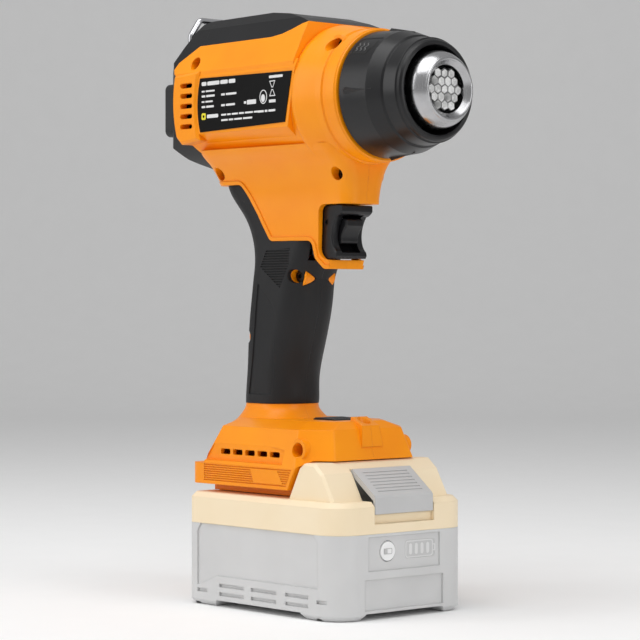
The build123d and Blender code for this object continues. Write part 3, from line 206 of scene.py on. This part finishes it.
def circuit_board(name):
    """Green solder mask with darker copper areas under it."""
    material, tree, surface = new_material(name)
    place = object_space(tree)
    cells = tree.nodes.new("ShaderNodeTexVoronoi")
    cells.inputs["Scale"].default_value = 420.0
    tree.links.new(place, cells.inputs["Vector"])
    copper = spread(tree, cells.outputs["Distance"], 0.0, 1.0, 0.2, 0.5)
    mask_dark, mask_light = (0.01, 0.09, 0.03), (0.02, 0.2, 0.07)
    tree.links.new(mix_colour(tree, copper, mask_dark, mask_light), surface.inputs["Base Color"])
    tree.links.new(spread(tree, noise(tree, place, 4 * MM), 0.25, 0.4), surface.inputs["Roughness"])
    bump(tree, surface, copper, 0.03 * MM, 0.0)
    return material


orange = (1.0, 0.33, 0.0)
orange_deep = (0.97, 0.29, 0.0)
finishes = {
    "orange_shell": plastic("orange_shell", orange, orange_deep, 0.36, depth=0.006 * MM, edge=0.5 * MM,
                            specular=0.32),
    "cover_black": plastic("cover_black", (0.008, 0.008, 0.009), (0.011, 0.011, 0.012), 0.38,
                           depth=0.006 * MM, specular=0.3),
    "soft_grip": plastic("soft_grip", (0.010, 0.010, 0.011), (0.014, 0.014, 0.015), 0.5, grain=0.5 * MM,
                         depth=0.03 * MM, edge=0.6 * MM, wear=0.08, specular=0.28),
    "plate_black": plastic("plate_black", (0.001, 0.001, 0.001), (0.002, 0.002, 0.002), 0.42,
                           depth=0.003 * MM, edge=0.1 * MM, specular=0.12),
    "panel_black": plastic("panel_black", (0.018, 0.018, 0.019), (0.024, 0.024, 0.025), 0.48,
                           grain=0.3 * MM, specular=0.3),
    "smoked_window": clear_plastic("smoked_window", (0.16, 0.17, 0.17), 0.06, 0.85),
    "display_grey": plastic("display_grey", (0.22, 0.30, 0.22), (0.20, 0.27, 0.20), 0.4, depth=0.004 * MM),
    "key_rubber": plastic("key_rubber", (0.05, 0.05, 0.052), (0.06, 0.06, 0.062), 0.6, depth=0.03 * MM),
    "flange_black": plastic("flange_black", (0.010, 0.010, 0.010), (0.014, 0.014, 0.014), 0.5,
                            specular=0.3),
    "collar_black": plastic("collar_black", (0.007, 0.007, 0.008), (0.010, 0.010, 0.011), 0.33,
                            grain=0.3 * MM, depth=0.006 * MM, edge=0.45 * MM, specular=0.35),
    "nozzle_steel": drawn_metal("nozzle_steel", (0.50, 0.50, 0.51), (0.42, 0.42, 0.43), 0.2, turned=True,
                                depth=0.003 * MM, size=0.35 * MM),
    "tube_steel": drawn_metal("tube_steel", (0.42, 0.40, 0.37), (0.30, 0.26, 0.23), 0.35, turned=True),
    "bright_wire": drawn_metal("bright_wire", (0.62, 0.62, 0.64), (0.5, 0.5, 0.52), 0.14, depth=0.003 * MM,
                               edge=0.0),
    "screw_steel": drawn_metal("screw_steel", (0.05, 0.048, 0.045), (0.03, 0.028, 0.026), 0.35),
    "mica": plastic("mica", (0.50, 0.45, 0.36), (0.40, 0.36, 0.30), 0.4, grain=1.2 * MM, depth=0.05 * MM),
    "white_ceramic": plastic("white_ceramic", (0.90, 0.90, 0.89), (0.80, 0.80, 0.80), 0.45, grain=0.6 * MM,
                             depth=0.05 * MM, edge=0.15 * MM),
    "coil_wire": drawn_metal("coil_wire", (0.16, 0.14, 0.13), (0.10, 0.08, 0.08), 0.5),
    "inner_black": plastic("inner_black", (0.02, 0.02, 0.02), (0.028, 0.028, 0.028), 0.55),
    "motor_steel": drawn_metal("motor_steel", (0.45, 0.45, 0.47), (0.38, 0.38, 0.40), 0.3, turned=True),
    "shaft_steel": drawn_metal("shaft_steel", (0.6, 0.6, 0.6), (0.5, 0.5, 0.5), 0.2),
    "impeller_plastic": plastic("impeller_plastic", (0.04, 0.04, 0.042), (0.05, 0.05, 0.052), 0.5),
    "board_green": circuit_board("board_green"),
    "trigger_black": plastic("trigger_black", (0.006, 0.006, 0.007), (0.009, 0.009, 0.010), 0.3,
                             depth=0.005 * MM, edge=0.5 * MM, specular=0.35),
    "spring_steel": drawn_metal("spring_steel", (0.45, 0.45, 0.46), (0.36, 0.36, 0.37), 0.28),
    "insert_black": plastic("insert_black", (0.008, 0.008, 0.008), (0.012, 0.012, 0.012), 0.4,
                            specular=0.3),
    "lamp_clear": clear_plastic("lamp_clear", (0.95, 0.93, 0.86), 0.08, 0.8),
    "contact_brass": drawn_metal("contact_brass", (0.75, 0.58, 0.28), (0.66, 0.50, 0.24), 0.3),
    "lead_red": plastic("lead_red", (0.45, 0.01, 0.01), (0.38, 0.01, 0.01), 0.35),
    "pack_grey": plastic("pack_grey", (0.66, 0.66, 0.66), (0.62, 0.62, 0.62), 0.5, grain=0.45 * MM,
                         depth=0.02 * MM, edge=0.6 * MM),
    "pack_cream": plastic("pack_cream", (0.95, 0.80, 0.57), (0.93, 0.77, 0.53), 0.48, grain=0.45 * MM,
                          depth=0.01 * MM, edge=0.6 * MM),
    "button_grey": plastic("button_grey", (0.57, 0.57, 0.57), (0.54, 0.54, 0.54), 0.45, edge=0.3 * MM),
    "cell_wrap": plastic("cell_wrap", (0.03, 0.16, 0.42), (0.03, 0.14, 0.36), 0.28, depth=0.004 * MM),
    "nickel": drawn_metal("nickel", (0.62, 0.60, 0.52), (0.55, 0.52, 0.46), 0.3, streak=(1.0, 0.05, 1.0)),
    "gauge_white": plastic("gauge_white", (0.92, 0.92, 0.92), (0.88, 0.88, 0.88), 0.35, depth=0.006 * MM),
    "gauge_clear": plastic("gauge_clear", (0.60, 0.60, 0.60), (0.56, 0.56, 0.56), 0.3, depth=0.005 * MM),
    "white_ink": plastic("white_ink", (0.80, 0.80, 0.80), (0.72, 0.72, 0.72), 0.5, depth=0.004 * MM,
                         edge=0.0),
    "yellow_ink": plastic("yellow_ink", (0.85, 0.75, 0.02), (0.78, 0.68, 0.02), 0.5, depth=0.004 * MM,
                          edge=0.0),
    # near-black for dark marks, and the painted shadow on the disc behind the honeycomb
    "dark_marks_and_painted_shadow": plastic("dark_marks_and_painted_shadow", (0.002, 0.002, 0.002), (0.004, 0.004, 0.004), 0.5, edge=0.0),
    # grey on the collar's moulded waves is a painted highlight on black plastic
    "wave_painted_highlight": plastic("wave_painted_highlight", (0.09, 0.09, 0.09), (0.12, 0.12, 0.12), 0.4, edge=0.0),
    # dark base colour of the honeycomb walls is painted shadow between the bright cells
    "painted_shadow_comb_wall": plastic("painted_shadow_comb_wall", (0.06, 0.06, 0.06), (0.22, 0.22, 0.22), 0.4, grain=0.8 * MM,
                         depth=0.05 * MM, edge=0.0),
}


def paint_frame():
    """Every CAD node takes the finish of its slot in the record."""
    for part in frame["record"]["subparts"]:
        piece = nodes[part["node"]]
        piece.data.materials.clear()
        piece.data.materials.append(finishes[part["material_slot"]])


# ---------------------------------------------------------------- mesh helpers
def mesh_piece(name, bm, finish, body, smooth=False):
    mesh = bpy.data.meshes.new(name)
    bmesh.ops.recalc_face_normals(bm, faces=bm.faces)
    bm.to_mesh(mesh)
    bm.free()
    for face in mesh.polygons:
        face.use_smooth = smooth
    piece = bpy.data.objects.new(name, mesh)
    bpy.context.scene.collection.objects.link(piece)
    mesh.materials.append(finishes[finish])
    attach(piece, body)
    return piece


def raised_shape(bm, outline, place, height):
    """Prism on a surface: place(u, v, lift) gives the point over the surface."""
    low = [bm.verts.new(place(u, v, SUNK)) for u, v in outline]
    high = [bm.verts.new(place(u, v, height)) for u, v in outline]
    count = len(outline)
    bm.faces.new(high)
    bm.faces.new(low[::-1])
    for index in range(count):
        after = (index + 1) % count
        bm.faces.new((low[index], low[after], high[after], high[index]))


def raised_ring(bm, outer, inner, place, height):
    """Frame between two outlines with the same number of points."""
    rows = []
    for outline, lift in ((outer, SUNK), (outer, height), (inner, height), (inner, SUNK)):
        rows.append([bm.verts.new(place(u, v, lift)) for u, v in outline])
    count = len(outer)
    for row in range(4):
        below, above = rows[row], rows[(row + 1) % 4]
        for index in range(count):
            after = (index + 1) % count
            bm.faces.new((below[index], below[after], above[after], above[index]))


def rounded_box(u, v, width, height, radius, steps=4):
    """Outline of a rectangle with rounded corners, centred on (u, v)."""
    radius = min(radius, width / 2, height / 2)
    points = []
    for corner, (sign_u, sign_v) in enumerate(((1, 1), (-1, 1), (-1, -1), (1, -1))):
        for step in range(steps + 1):
            angle = math.pi / 2 * (corner + step / steps)
            points.append((u + sign_u * (width / 2 - radius) + radius * math.cos(angle),
                           v + sign_v * (height / 2 - radius) + radius * math.sin(angle)))
    return points


def ellipse(u, v, half_u, half_v, steps=28):
    return [(u + half_u * math.cos(math.tau * step / steps), v + half_v * math.sin(math.tau * step / steps))
            for step in range(steps)]


def polyline_strip(points, width):
    """Outline of a strip of even width along an open polyline."""
    left, right = [], []
    for index, (u, v) in enumerate(points):
        before = points[max(index - 1, 0)]
        after = points[min(index + 1, len(points) - 1)]
        du, dv = after[0] - before[0], after[1] - before[1]
        length = math.hypot(du, dv)
        nu, nv = -dv / length * width / 2, du / length * width / 2
        left.append((u + nu, v + nv))
        right.append((u - nu, v - nv))
    return left + right[::-1]


def plane_at(origin, along, up, out):
    """place() for a flat surface."""
    along, up, out = Vector(along), Vector(up), Vector(out)

    def place(u, v, lift):
        return Vector(origin) + along * u + up * v + out * lift
    return place


# ---------------------------------------------------------------- printing on the rating plates
def plate_printing(side):
    """Rows of plain bars where a rating plate carries its data, a disc, a box and a coloured chip."""
    face_y = (plate_low.y - PRINT) if side < 0 else -(plate_low.y - PRINT)
    place = plane_at((plate_low.x, face_y, plate_low.z), (1, 0, 0), (0, 0, 1), (0, side, 0))
    width = plate_high.x - plate_low.x

    def at(share):
        return share if side < 0 else width - share

    bm = bmesh.new()
    # start of the row, height above the plate's low edge, bar height, lengths of the bars
    rows = [
        (3.2 * MM, 21.7 * MM, 1.75 * MM, (3.4, 8.6, 5.2, 4.6)),
        (3.2 * MM, 18.3 * MM, 0.75 * MM, (2.2, 6.4)),
        (3.2 * MM, 16.1 * MM, 0.95 * MM, (2.6, 6.0)),
        (17.2 * MM, 16.1 * MM, 0.95 * MM, (2.6, 7.4)),
        (3.2 * MM, 13.6 * MM, 0.75 * MM, (2.0, 5.2)),
        (3.2 * MM, 11.3 * MM, 0.95 * MM, (2.6, 5.4)),
        (17.2 * MM, 11.3 * MM, 0.95 * MM, (2.6, 6.4)),
        (33.2 * MM, 11.5 * MM, 1.1 * MM, (1.6,)),
        (7.0 * MM, 6.9 * MM, 1.6 * MM, (8.0,)),
        (17.2 * MM, 7.0 * MM, 0.8 * MM, (3.6, 2.4, 4.4, 3.4, 5.6, 2.6)),
        (17.2 * MM, 4.6 * MM, 0.8 * MM, (4.6, 3.2, 5.4, 6.4)),
        (42.6 * MM, 6.9 * MM, 0.95 * MM, (4.2, 1.8, 4.6)),
        (50.4 * MM, 21.6 * MM, 1.15 * MM, (9.2,)),
    ]
    gap = 0.7 * MM
    for start, height, thick, lengths in rows:
        u = start
        for length in lengths:
            half = length * MM / 2
            raised_shape(bm, rounded_box(at(u + half), height, 2 * half, thick, thick * 0.3), place, PRINT)
            u += 2 * half + gap
    raised_shape(bm, rounded_box(at(38.4 * MM), 11.5 * MM, 6.2 * MM, 2.0 * MM, 0.3 * MM), place, PRINT)
    # round mark and hourglass mark, with a bar below the second
    raised_ring(bm, ellipse(at(46.5 * MM), 13.2 * MM, 2.5 * MM, 3.1 * MM),
                ellipse(at(46.5 * MM), 13.2 * MM, 2.1 * MM, 2.7 * MM), place, PRINT)
    raised_shape(bm, ellipse(at(46.3 * MM), 12.6 * MM, 1.3 * MM, 1.7 * MM), place, PRINT)
    mark_u = at(52.6 * MM)
    hollow = 0.72
    for centre, flip in ((18.4, 1), (14.6, -1)):
        points = [(-2.0, 1.5 * flip), (2.0, 1.5 * flip), (0.5, -1.5 * flip), (-0.5, -1.5 * flip)]
        raised_ring(bm, [(mark_u + u * MM, (centre + v) * MM) for u, v in points],
                    [(mark_u + hollow * u * MM, (centre + hollow * v) * MM) for u, v in points],
                    place, PRINT)
    raised_shape(bm, rounded_box(mark_u, 11.0 * MM, 4.4 * MM, 1.3 * MM, 0.2 * MM), place, PRINT)
    label = "right" if side < 0 else "left"
    mesh_piece("plate_printing_" + label, bm, "white_ink", "tool_body")

    bm = bmesh.new()
    raised_ring(bm, rounded_box(at(4.6 * MM), 7.0 * MM, 3.0 * MM, 3.0 * MM, 0.7 * MM),
                rounded_box(at(4.6 * MM), 7.0 * MM, 1.3 * MM, 1.3 * MM, 0.5 * MM), place, PRINT)
    mesh_piece("plate_chip_" + label, bm, "yellow_ink", "tool_body")


# ---------------------------------------------------------------- heat mark on the collar
def collar_mark():
    """Dark frame lines round three waves coloured grey as a painted highlight, on the side of the collar.
    """
    wide_r, narrow_r = 27.5 * MM, 26.4 * MM
    start, end = 39.3 * MM, 54.5 * MM
    raised = 0.12 * MM

    def place(u, v, lift):
        """u runs along the collar from its rear edge, v round it from the side upwards."""
        x = start + u
        radius = wide_r + (narrow_r - wide_r) * (x - start) / (end - start) + lift
        angle = v / wide_r
        return Vector((x, -radius * math.cos(angle), axis_z + radius * math.sin(angle)))

    def dense(points, count=10):
        out = []
        for (u0, v0), (u1, v1) in zip(points, points[1:]):
            out += [(u0 + (u1 - u0) * step / count, v0 + (v1 - v0) * step / count) for step in range(count)]
        return out + [points[-1]]

    base = 16.4 * MM
    frame_line = [(1.4, 0.0), (1.2, 7.2), (1.8, 9.9), (3.6, 11.2), (13.2, 11.6)]
    inner_line = [(1.9, 1.2), (10.2, 0.8), (10.8, 3.0), (12.6, 5.0), (12.4, 9.2)]
    bm = bmesh.new()
    for line, width in ((frame_line, 0.9), (inner_line, 0.6)):
        points = dense([(u * MM, base + v * MM) for u, v in line])
        raised_shape_strip(bm, points, width * MM, place, raised)
    mesh_piece("collar_mark", bm, "dark_marks_and_painted_shadow", "collar_group")
    # waves coloured grey as a painted highlight on the black collar
    bm = bmesh.new()
    for wave in range(3):
        first_u = 3.6 + 2.4 * wave
        points = [((first_u + 0.55 * math.sin(step * 0.75)) * MM, base + (2.4 + 0.32 * step) * MM)
                  for step in range(17)]
        raised_shape_strip(bm, points, 0.55 * MM, place, raised)
    mesh_piece("collar_waves", bm, "wave_painted_highlight", "collar_group")


def raised_shape_strip(bm, points, width, place, height):
    """Narrow strip along a line on a curved surface, in short lengths that follow the surface."""
    outline = polyline_strip(points, width)
    count = len(points)
    left, right = outline[:count], outline[count:][::-1]
    for lift, flip in ((height, False), (SUNK, True)):
        row_left = [bm.verts.new(place(u, v, lift)) for u, v in left]
        row_right = [bm.verts.new(place(u, v, lift)) for u, v in right]
        for index in range(count - 1):
            face = (row_left[index], row_left[index + 1], row_right[index + 1], row_right[index])
            bm.faces.new(face[::-1] if flip else face)


# ---------------------------------------------------------------- ceramic honeycomb in the nozzle
def honeycomb():
    """Hexagonal cells seen as bright hollows between thin walls coloured dark as painted shadow; a few look
    black right through onto a painted-shadow disc.
    """
    centre_y = (comb_low.y + comb_high.y) / 2
    radius = (comb_high.y - comb_low.y) / 2
    front = comb_high.x
    pitch = 3.9 * MM
    wall = 0.34 * MM
    depth = 2.4 * MM
    lattice, cups = bmesh.new(), bmesh.new()
    across = pitch / math.cos(math.radians(30)) / 2

    def corner(y, z, size, turn, x, jitter=0.0):
        angle = math.radians(60 * turn + 30)
        shift = random.uniform(-jitter, jitter)
        return Vector((x, y + size * math.cos(angle) + shift, z + size * math.sin(angle) - shift))

    for row in range(-3, 4):
        for column in range(-4, 5):
            y = centre_y + (column + 0.5 * (row % 2)) * pitch
            z = axis_z + row * pitch * math.cos(math.radians(30))
            reach = math.hypot(y - centre_y, z - axis_z)
            if reach > radius - 0.9 * MM:
                continue
            jitter = 0.22 * MM
            outer = [lattice.verts.new(corner(y, z, across, turn, front - 0.2 * MM)) for turn in range(6)]
            inner = [lattice.verts.new(corner(y, z, across - wall, turn, front, jitter))
                     for turn in range(6)]
            for turn in range(6):
                after = (turn + 1) % 6
                lattice.faces.new((outer[turn], outer[after], inner[after], inner[turn]))
            dark = random.random() < 0.16
            floor_x = front - (7.0 * MM if dark else depth * random.uniform(0.25, 0.8))
            ring_top = [cups.verts.new(point.co) for point in inner]
            ring_low = []
            for turn in range(6):
                size = (across - wall) * random.uniform(0.55, 0.8)
                ring_low.append(cups.verts.new(corner(y, z, size, turn, floor_x, jitter)))
            middle = cups.verts.new(Vector((floor_x + (0.0 if dark else 0.7 * MM), y, z)))
            for turn in range(6):
                after = (turn + 1) % 6
                cups.faces.new((ring_top[turn], ring_top[after], ring_low[after], ring_low[turn]))
                if not dark:
                    cups.faces.new((ring_low[turn], ring_low[after], middle))
    # the walls take the dark painted-shadow colour
    walls = mesh_piece("comb_walls", lattice, "painted_shadow_comb_wall", "tool_body")
    mesh_piece("comb_cells", cups, "white_ceramic", "tool_body")
    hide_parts("outlet_honeycomb")

    # painted shadow: a dark disc far behind the cells
    bm = bmesh.new()
    place = plane_at((comb_low.x, centre_y, axis_z), (0, 1, 0), (0, 0, 1), (1, 0, 0))
    raised_shape(bm, ellipse(0, 0, radius * 0.97, radius * 0.97, 48), place, 0.4 * MM)
    mesh_piece("comb_shadow", bm, "dark_marks_and_painted_shadow", "tool_body")


# ---------------------------------------------------------------- charge gauge on the pack
def gauge_marks():
    """Battery outline with four bars on the window, and a small cell mark on the round key."""
    mid_y = (gauge_low.y + gauge_high.y) / 2
    mid_z = (gauge_low.z + gauge_high.z) / 2
    place = plane_at((gauge_high.x + PRINT, mid_y, mid_z), (0, 1, 0), (0, 0, 1), (1, 0, 0))
    bm = bmesh.new()
    raised_ring(bm, rounded_box(-0.5 * MM, 0, 16.4 * MM, 7.4 * MM, 1.3 * MM),
                rounded_box(-0.5 * MM, 0, 15.4 * MM, 6.4 * MM, 0.9 * MM), place, PRINT)
    raised_ring(bm, rounded_box(8.4 * MM, 0, 1.6 * MM, 3.0 * MM, 0.3 * MM),
                rounded_box(8.2 * MM, 0, 0.8 * MM, 2.1 * MM, 0.2 * MM), place, PRINT)
    for bar in range(4):
        bar_y = (-5.6 + 3.4 * bar) * MM
        raised_shape(bm, rounded_box(bar_y, 0, 1.8 * MM, 4.8 * MM, 0.9 * MM), place, PRINT)
    mesh_piece("gauge_printing", bm, "white_ink", "pack_group")

    key_y = (gauge_key_low.y + gauge_key_high.y) / 2
    key_z = (gauge_key_low.z + gauge_key_high.z) / 2
    place = plane_at((gauge_key_high.x + PRINT, key_y, key_z), (0, 1, 0), (0, 0, 1), (1, 0, 0))
    bm = bmesh.new()
    raised_ring(bm, rounded_box(-0.2 * MM, 0, 4.8 * MM, 2.5 * MM, 0.4 * MM),
                rounded_box(-0.2 * MM, 0, 4.3 * MM, 2.0 * MM, 0.3 * MM), place, PRINT)
    raised_shape(bm, rounded_box(-1.4 * MM, 0, 1.7 * MM, 1.9 * MM, 0.1 * MM), place, PRINT)
    mesh_piece("gauge_key_printing", bm, "button_grey", "gauge_key_group")


# ---------------------------------------------------------------- digits behind the smoked window
def display_digits():
    """Three seven-segment digits and a unit dot, dark on the grey-green display."""
    mid_z = (display_low.z + display_high.z) / 2
    place = plane_at((display_low.x - PRINT, 0, mid_z), (0, -1, 0), (0, 0, 1), (-1, 0, 0))
    width, height, thick = 3.6 * MM, 6.6 * MM, 0.7 * MM
    segments = {
        "top": (0, height / 2, True), "middle": (0, 0, True), "low": (0, -height / 2, True),
        "upper_left": (-width / 2, height / 4, False), "upper_right": (width / 2, height / 4, False),
        "lower_left": (-width / 2, -height / 4, False), "lower_right": (width / 2, -height / 4, False),
    }
    three = ("top", "middle", "low", "upper_right", "lower_right")
    five = ("top", "middle", "low", "upper_left", "lower_right")
    zero = ("top", "low", "upper_left", "upper_right", "lower_left", "lower_right")
    bm = bmesh.new()
    for index, lit in enumerate((three, five, zero)):
        u = (index - 1.2) * 6.2 * MM
        for name in lit:
            du, dv, flat = segments[name]
            long_side = (width if flat else height / 2) - thick
            size = (long_side, thick) if flat else (thick, long_side)
            raised_shape(bm, rounded_box(u + du, dv, *size, thick * 0.4), place, PRINT)
    raised_ring(bm, ellipse(10.6 * MM, 2.6 * MM, 0.9 * MM, 0.9 * MM, 16),
                ellipse(10.6 * MM, 2.6 * MM, 0.5 * MM, 0.5 * MM, 16), place, PRINT)
    mesh_piece("display_digits", bm, "dark_marks_and_painted_shadow", "tool_body")


def key_marks():
    """Arrow up, dot and arrow down on the three keys."""
    arrow = [(-1.5, -0.8), (1.5, -0.8), (0.0, 1.2)]
    for node, body, shape in (("button_up", "key_up_group", arrow),
                              ("button_mode", "key_mode_group", None),
                              ("button_down", "key_down_group", [(u, -v) for u, v in arrow[::-1]])):
        low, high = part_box(node)
        middle = (low + high) / 2
        place = plane_at((low.x - PRINT, middle.y, middle.z), (0, -1, 0), (0, 0, 1), (-1, 0, 0))
        bm = bmesh.new()
        if shape:
            raised_shape(bm, [(u * MM, v * MM) for u, v in shape], place, PRINT)
        else:
            outer, inner = (ellipse(0, 0, size, size, 20) for size in (1.3 * MM, 0.8 * MM))
            raised_ring(bm, outer, inner, place, PRINT)
        mesh_piece(node + "_mark", bm, "white_ink", body)


# ---------------------------------------------------------------- studio
def studio():
    """White floor that curves up into a backdrop behind the tool, and an even white world."""
    bm = bmesh.new()
    size, rise, radius, steps = 2.4, 1.8, 0.6, 14
    half_width = 4.0
    drop = 0.2 * MM        # keeps the floor just under the pack's feet
    profile = [(-size, 0.0)]
    profile += [(size - radius + radius * math.sin(math.pi / 2 * step / steps),
                 radius - radius * math.cos(math.pi / 2 * step / steps)) for step in range(steps + 1)]
    profile.append((size, rise))
    facing = math.radians(48.6)
    away = Vector((-math.sin(facing), math.cos(facing), 0))
    across = Vector((math.cos(facing), math.sin(facing), 0))
    rows = [[bm.verts.new(across * side + away * out + Vector((0, 0, up - drop))) for out, up in profile]
            for side in (-half_width, half_width)]
    for index in range(len(profile) - 1):
        bm.faces.new((rows[0][index], rows[0][index + 1], rows[1][index + 1], rows[1][index]))
    mesh = bpy.data.meshes.new("floor")
    bmesh.ops.recalc_face_normals(bm, faces=bm.faces)
    bm.to_mesh(mesh)
    bm.free()
    floor = bpy.data.objects.new("floor", mesh)
    bpy.context.scene.collection.objects.link(floor)
    for face in mesh.polygons:
        face.use_smooth = True
    paper = plastic("floor_paper", (0.94, 0.94, 0.94), (0.93, 0.93, 0.93), 0.9, grain=2 * MM, edge=0.0,
                    specular=0.1)
    mesh.materials.append(paper)

    world = bpy.data.worlds.new("studio")
    world.use_nodes = True
    world.node_tree.nodes["Background"].inputs["Color"].default_value = (1.0, 1.0, 1.0, 1.0)
    world.node_tree.nodes["Background"].inputs["Strength"].default_value = 0.42
    bpy.context.scene.world = world
    bpy.context.scene.view_settings.view_transform = "Standard"


def softbox(name, position, target, width, height, power):
    data = bpy.data.lights.new(name, "AREA")
    data.shape = "RECTANGLE"
    data.size = width
    data.size_y = height
    data.energy = power
    light = bpy.data.objects.new(name, data)
    bpy.context.scene.collection.objects.link(light)
    light.location = position
    light.rotation_mode = "QUATERNION"
    light.rotation_quaternion = (Vector(target) - Vector(position)).to_track_quat("-Z", "Y")


def camera():
    azimuth, elevation = math.radians(48.635), math.radians(0.312)
    back = Vector((math.sin(azimuth) * math.cos(elevation), -math.cos(azimuth) * math.cos(elevation),
                   math.sin(elevation)))
    target = Vector((-0.00231, -0.00159, 0.12709))
    distance = 1.06215
    data = bpy.data.cameras.new("camera")
    data.lens = 134.02
    data.sensor_width = 36.0
    seen = bpy.data.objects.new("camera", data)
    bpy.context.scene.collection.objects.link(seen)
    seen.location = target + back * distance
    seen.rotation_mode = "QUATERNION"
    seen.rotation_quaternion = (-back).to_track_quat("-Z", "Y")
    data.clip_end = 50.0
    bpy.context.scene.camera = seen


paint_frame()
plate_printing(-1)
plate_printing(1)
collar_mark()
honeycomb()
gauge_marks()
display_digits()
key_marks()
studio()
softbox("top_light", (0.1, -0.3, 1.1), (0.0, 0.0, 0.2), 0.9, 0.9, 7.0)
softbox("front_light", (1.0, 0.1, 0.5), (0.0, 0.0, 0.15), 0.35, 0.9, 2.2)
softbox("left_light", (-0.6, -1.0, 0.6), (0.0, 0.0, 0.15), 0.5, 0.9, 3.5)
camera()
